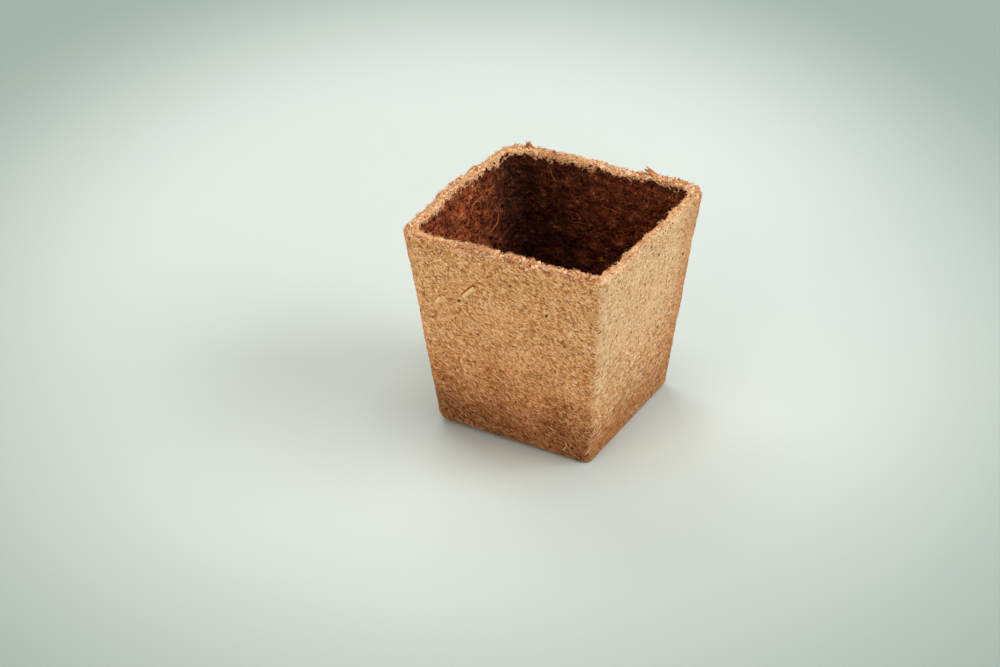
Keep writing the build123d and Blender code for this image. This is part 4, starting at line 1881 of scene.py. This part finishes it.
@dataclass
class RimBundles:
    """The splinter that stands off the back rim and the dark tuft at the rim's back left."""

    shape: PotShape

    def bundle(
        self, name: str, root: Vector, tip: Vector, width: float, thick: float, seed: int, spread: float
    ) -> bpy.types.Mesh:
        """A bundle of split fibres that starts together and frays.

        Args:
            name: The mesh's name.
            root: Where it is held, in millimetres.
            tip: Where it points.
            width: How wide it is at its root.
            thick: Radius of its thickest fibre.
            seed: Sets how it frays.
            spread: How far the tips part.

        Returns:
            The mesh, with a tone for each fibre.
        """
        maker = np.random.default_rng(seed)
        parts, tones = [], []
        share = np.linspace(0, 1, 8)[:, None]
        for _ in range(32):
            base = np.array(root) + maker.uniform(-0.5, 0.5, 3) * width * np.array([1, 1, 0.3])
            end = np.array(tip) + maker.uniform(-1, 1, 3) * spread
            end = base + (end - base) * maker.uniform(0.55, 1.0)
            bow = maker.uniform(-0.25, 0.25, 3) * np.linalg.norm(end - base)
            path = base + (end - base) * share + bow * share * (1 - share)
            radii = maker.uniform(0.4, 1.0) * thick * (1 - 0.7 * share[:, 0])
            parts.append(tube(path, radii, 5, np.array([0.13, 0.31, 0.94])))
            tones += [maker.uniform(0, 1)] * len(parts[-1][0])
        mesh = plain_mesh(name, *joined(parts))
        add_values(mesh, "tone", np.array(tones))
        return mesh

    def build(self, finish: bpy.types.Material) -> None:
        """Builds both bundles.

        Args:
            finish: Their material.
        """
        tall = self.shape.height
        mesh = self.bundle(
            "rim_splinter_frayed", Vector((17.2, 28.6, tall - 0.1)), Vector((12.2, 28.7, tall + 2.2)),
            1.3, 0.42, 91, 0.4)
        settle(show(mesh.name, mesh, finish), ["rim_splinter"])
        mesh = self.bundle(
            "rim_tuft_frayed", Vector((-22.6, 28.4, tall - 0.2)), Vector((-23.1, 28.5, tall + 1.5)),
            2.2, 0.34, 92, 0.7)
        settle(show(mesh.name, mesh, finish), ["rim_tuft"])


@dataclass
class Studio:
    """Floor, soft light and the camera at the photograph's angle."""

    # Painted light on the floor: the pool's middle colour, and the darker colour it falls off to.
    floor_colour: tuple = linear(208, 216, 211)
    floor_edge: tuple = linear(150, 164, 157)
    focal: float = 90.99
    camera_place: tuple = (0.274123, -0.508055, 0.368676)
    right: tuple = (0.87188, 0.48954, -0.01288)
    up: tuple = (-0.24265, 0.45472, 0.85694)

    def floor(self) -> None:
        """A wide pale floor with a painted pool of light: lighter round the pot, darker further out."""
        points = np.array([(-1500, -1500, 0), (1500, -1500, 0), (1500, 1500, 0), (-1500, 1500, 0)])
        graph = Graph("pale_floor")
        placed = graph.tree.nodes.new("ShaderNodeMapping")
        placed.vector_type = "TEXTURE"
        graph.join(graph.millimetres(), placed.inputs["Vector"])
        placed.inputs["Location"].default_value = (-55.0, 51.0, 0)
        placed.inputs["Rotation"].default_value = (0, 0, math.radians(31.0))
        placed.inputs["Scale"].default_value = (210.0, 270.0, 1.0)
        length = graph.tree.nodes.new("ShaderNodeVectorMath")
        length.operation = "LENGTH"
        graph.join(placed.outputs[0], length.inputs[0])
        # Painted light: the floor darkens out from the pool's middle.
        edge = graph.range(length.outputs["Value"], 0.42, 1.0, 0.0, 1.0)
        edge.node.interpolation_type = "SMOOTHSTEP"
        colour = graph.mix(edge, self.floor_colour, self.floor_edge)
        graph.join(colour, graph.shader.inputs["Base Color"])
        graph.shader.inputs["Roughness"].default_value = 0.8
        graph.shader.inputs["Specular IOR Level"].default_value = 0.1
        floor = show("floor", plain_mesh("floor", points, [(0, 1, 2, 3)]), graph.material)

    def lamp(self, name: str, place: tuple, power: float, size: float, colour: tuple) -> None:
        """A square soft lamp that looks at the pot.

        Args:
            name: The lamp's name.
            place: Where it is, in metres.
            power: Its power in watts.
            size: Its side in metres.
            colour: Its colour.
        """
        data = bpy.data.lights.new(name, "AREA")
        data.energy = power
        data.size = size
        data.color = colour
        lamp = bpy.data.objects.new(name, data)
        lamp.location = place
        aim = Vector((0, 0, 0.03)) - Vector(place)
        lamp.rotation_euler = aim.to_track_quat("-Z", "Y").to_euler()
        bpy.context.scene.collection.objects.link(lamp)

    def light(self) -> None:
        """Soft light: a key from the right, a fill from the front, a rear and a top lamp and a surround."""
        self.lamp("key", (1.03, 0.334, 0.625), 12.9, 0.95, (0.98, 0.985, 0.98))
        self.lamp("fill", (-0.35, -1.04, 0.14), 9.0, 0.7, (1.0, 0.82, 0.65))
        self.lamp("rear", (-0.6, 0.5, 0.75), 4.0, 0.7, (1.0, 1.0, 0.99))
        self.lamp("top", (0.0, 0.0, 1.2), 3.4, 0.6, (1.0, 1.0, 1.0))
        world = bpy.data.worlds.new("surround")
        world.use_nodes = True
        world.node_tree.nodes["Background"].inputs["Color"].default_value = (0.97, 1.0, 0.98, 1)
        world.node_tree.nodes["Background"].inputs["Strength"].default_value = 0.38
        bpy.context.scene.world = world

    def camera(self) -> None:
        """The camera, where the photograph was taken from."""
        data = bpy.data.cameras.new("camera")
        data.sensor_fit = "HORIZONTAL"
        data.sensor_width = 36.0
        data.lens = self.focal
        data.clip_end = 20.0
        camera = bpy.data.objects.new("camera", data)
        right, up = Vector(self.right).normalized(), Vector(self.up)
        up = (up - right * up.dot(right)).normalized()
        back = right.cross(up)
        matrix = Matrix.Identity(4)
        for row in range(3):
            matrix[row][0], matrix[row][1], matrix[row][2] = right[row], up[row], back[row]
        matrix.translation = Vector(self.camera_place)
        camera.matrix_world = matrix
        bpy.context.scene.collection.objects.link(camera)
        bpy.context.scene.camera = camera

    def build(self) -> None:
        """Sets up the whole studio."""
        self.floor()
        self.light()
        self.camera()
        bpy.context.scene.view_settings.view_transform = "Standard"


def clear_unit_shapes(groups: Sequence[bpy.types.Collection]) -> None:
    """Removes the unit shapes once nothing more is strewn."""
    for group in groups:
        for unit in list(group.objects):
            bpy.data.objects.remove(unit)
        bpy.data.collections.remove(group)


def main() -> None:
    """Builds the pot's pieces in order, then the studio."""
    logging.basicConfig(level=logging.INFO, format="%(name)s %(message)s")
    shape = PotShape()
    unit = ShapeBox()
    felt_shapes = unit.fibres("felt_unit", 14, 2, 3, 0.075, 0.07, 0.02)
    speck_shapes = unit.fibres("speck_unit", 9, 2, 3, 0.28, 0.12, 0.04)
    hair_shapes = unit.fibres("hair_unit", 10, 4, 3, 0.045, 0.3, 0.5)
    tangle_shapes = unit.fibres("tangle_unit", 14, 4, 3, 0.026, 0.24, 0.1)
    strand_shapes = unit.fibres("strand_unit", 10, 9, 4, 0.013, 0.34, 0.12)
    crumb_shapes = unit.lumps("crumb_unit", 8, (1.0, 0.7, 0.5))

    skin = OuterSkin(shape)
    skin.build(FeltFinish().make())
    mat = InnerMat(shape)
    mat.build(MatFinish().make())
    FeltFibres(
        skin, felt_shapes, speck_shapes, Scatter(4.0, 0.45, 1.5, 3.0, spread=56.0),
        Scatter(0.4, 0.28, 0.66, 4.0, spread=70.0),
    ).build(FELT_FIBRE.make(), FELT_SPECK.make())
    crumb_finish = CRUMB.make()
    RimTear(
        skin, mat, crumb_shapes, hair_shapes, speck_shapes, Scatter(2.2, 0.3, 0.8, 40.0, smooth=False),
        Scatter(5.5, 0.6, 1.7, 14.0, spread=45.0), Scatter(0.6, 0.7, 1.5, 55.0, smooth=False),
        Scatter(1.3, 0.7, 1.6, 75.0, smooth=False),
    ).build(crumb_finish, RIM_FIBRE.make(), RIM_SHADOW_FIBRE.make())
    InnerStrands(
        mat, tangle_shapes, strand_shapes, crumb_shapes, Scatter(1.1, 1.0, 3.2, 14.0, spread=70.0),
        Scatter(0.006, 3.0, 7.0, 10.0), Scatter(0.3, 0.5, 1.8, 20.0),
    ).build(INNER_FIBRE.make(), STRAND_FIBRE.make(), PEAT_CRUMB.make())
    bark = BARK.make()
    PressedChips(shape).build(STRAW.make(), bark)
    RimBundles(shape).build(SPLINTER.make())
    clear_unit_shapes((felt_shapes, speck_shapes, hair_shapes, tangle_shapes, strand_shapes, crumb_shapes))
    Studio().build()


if __name__ == "__main__":
    main()
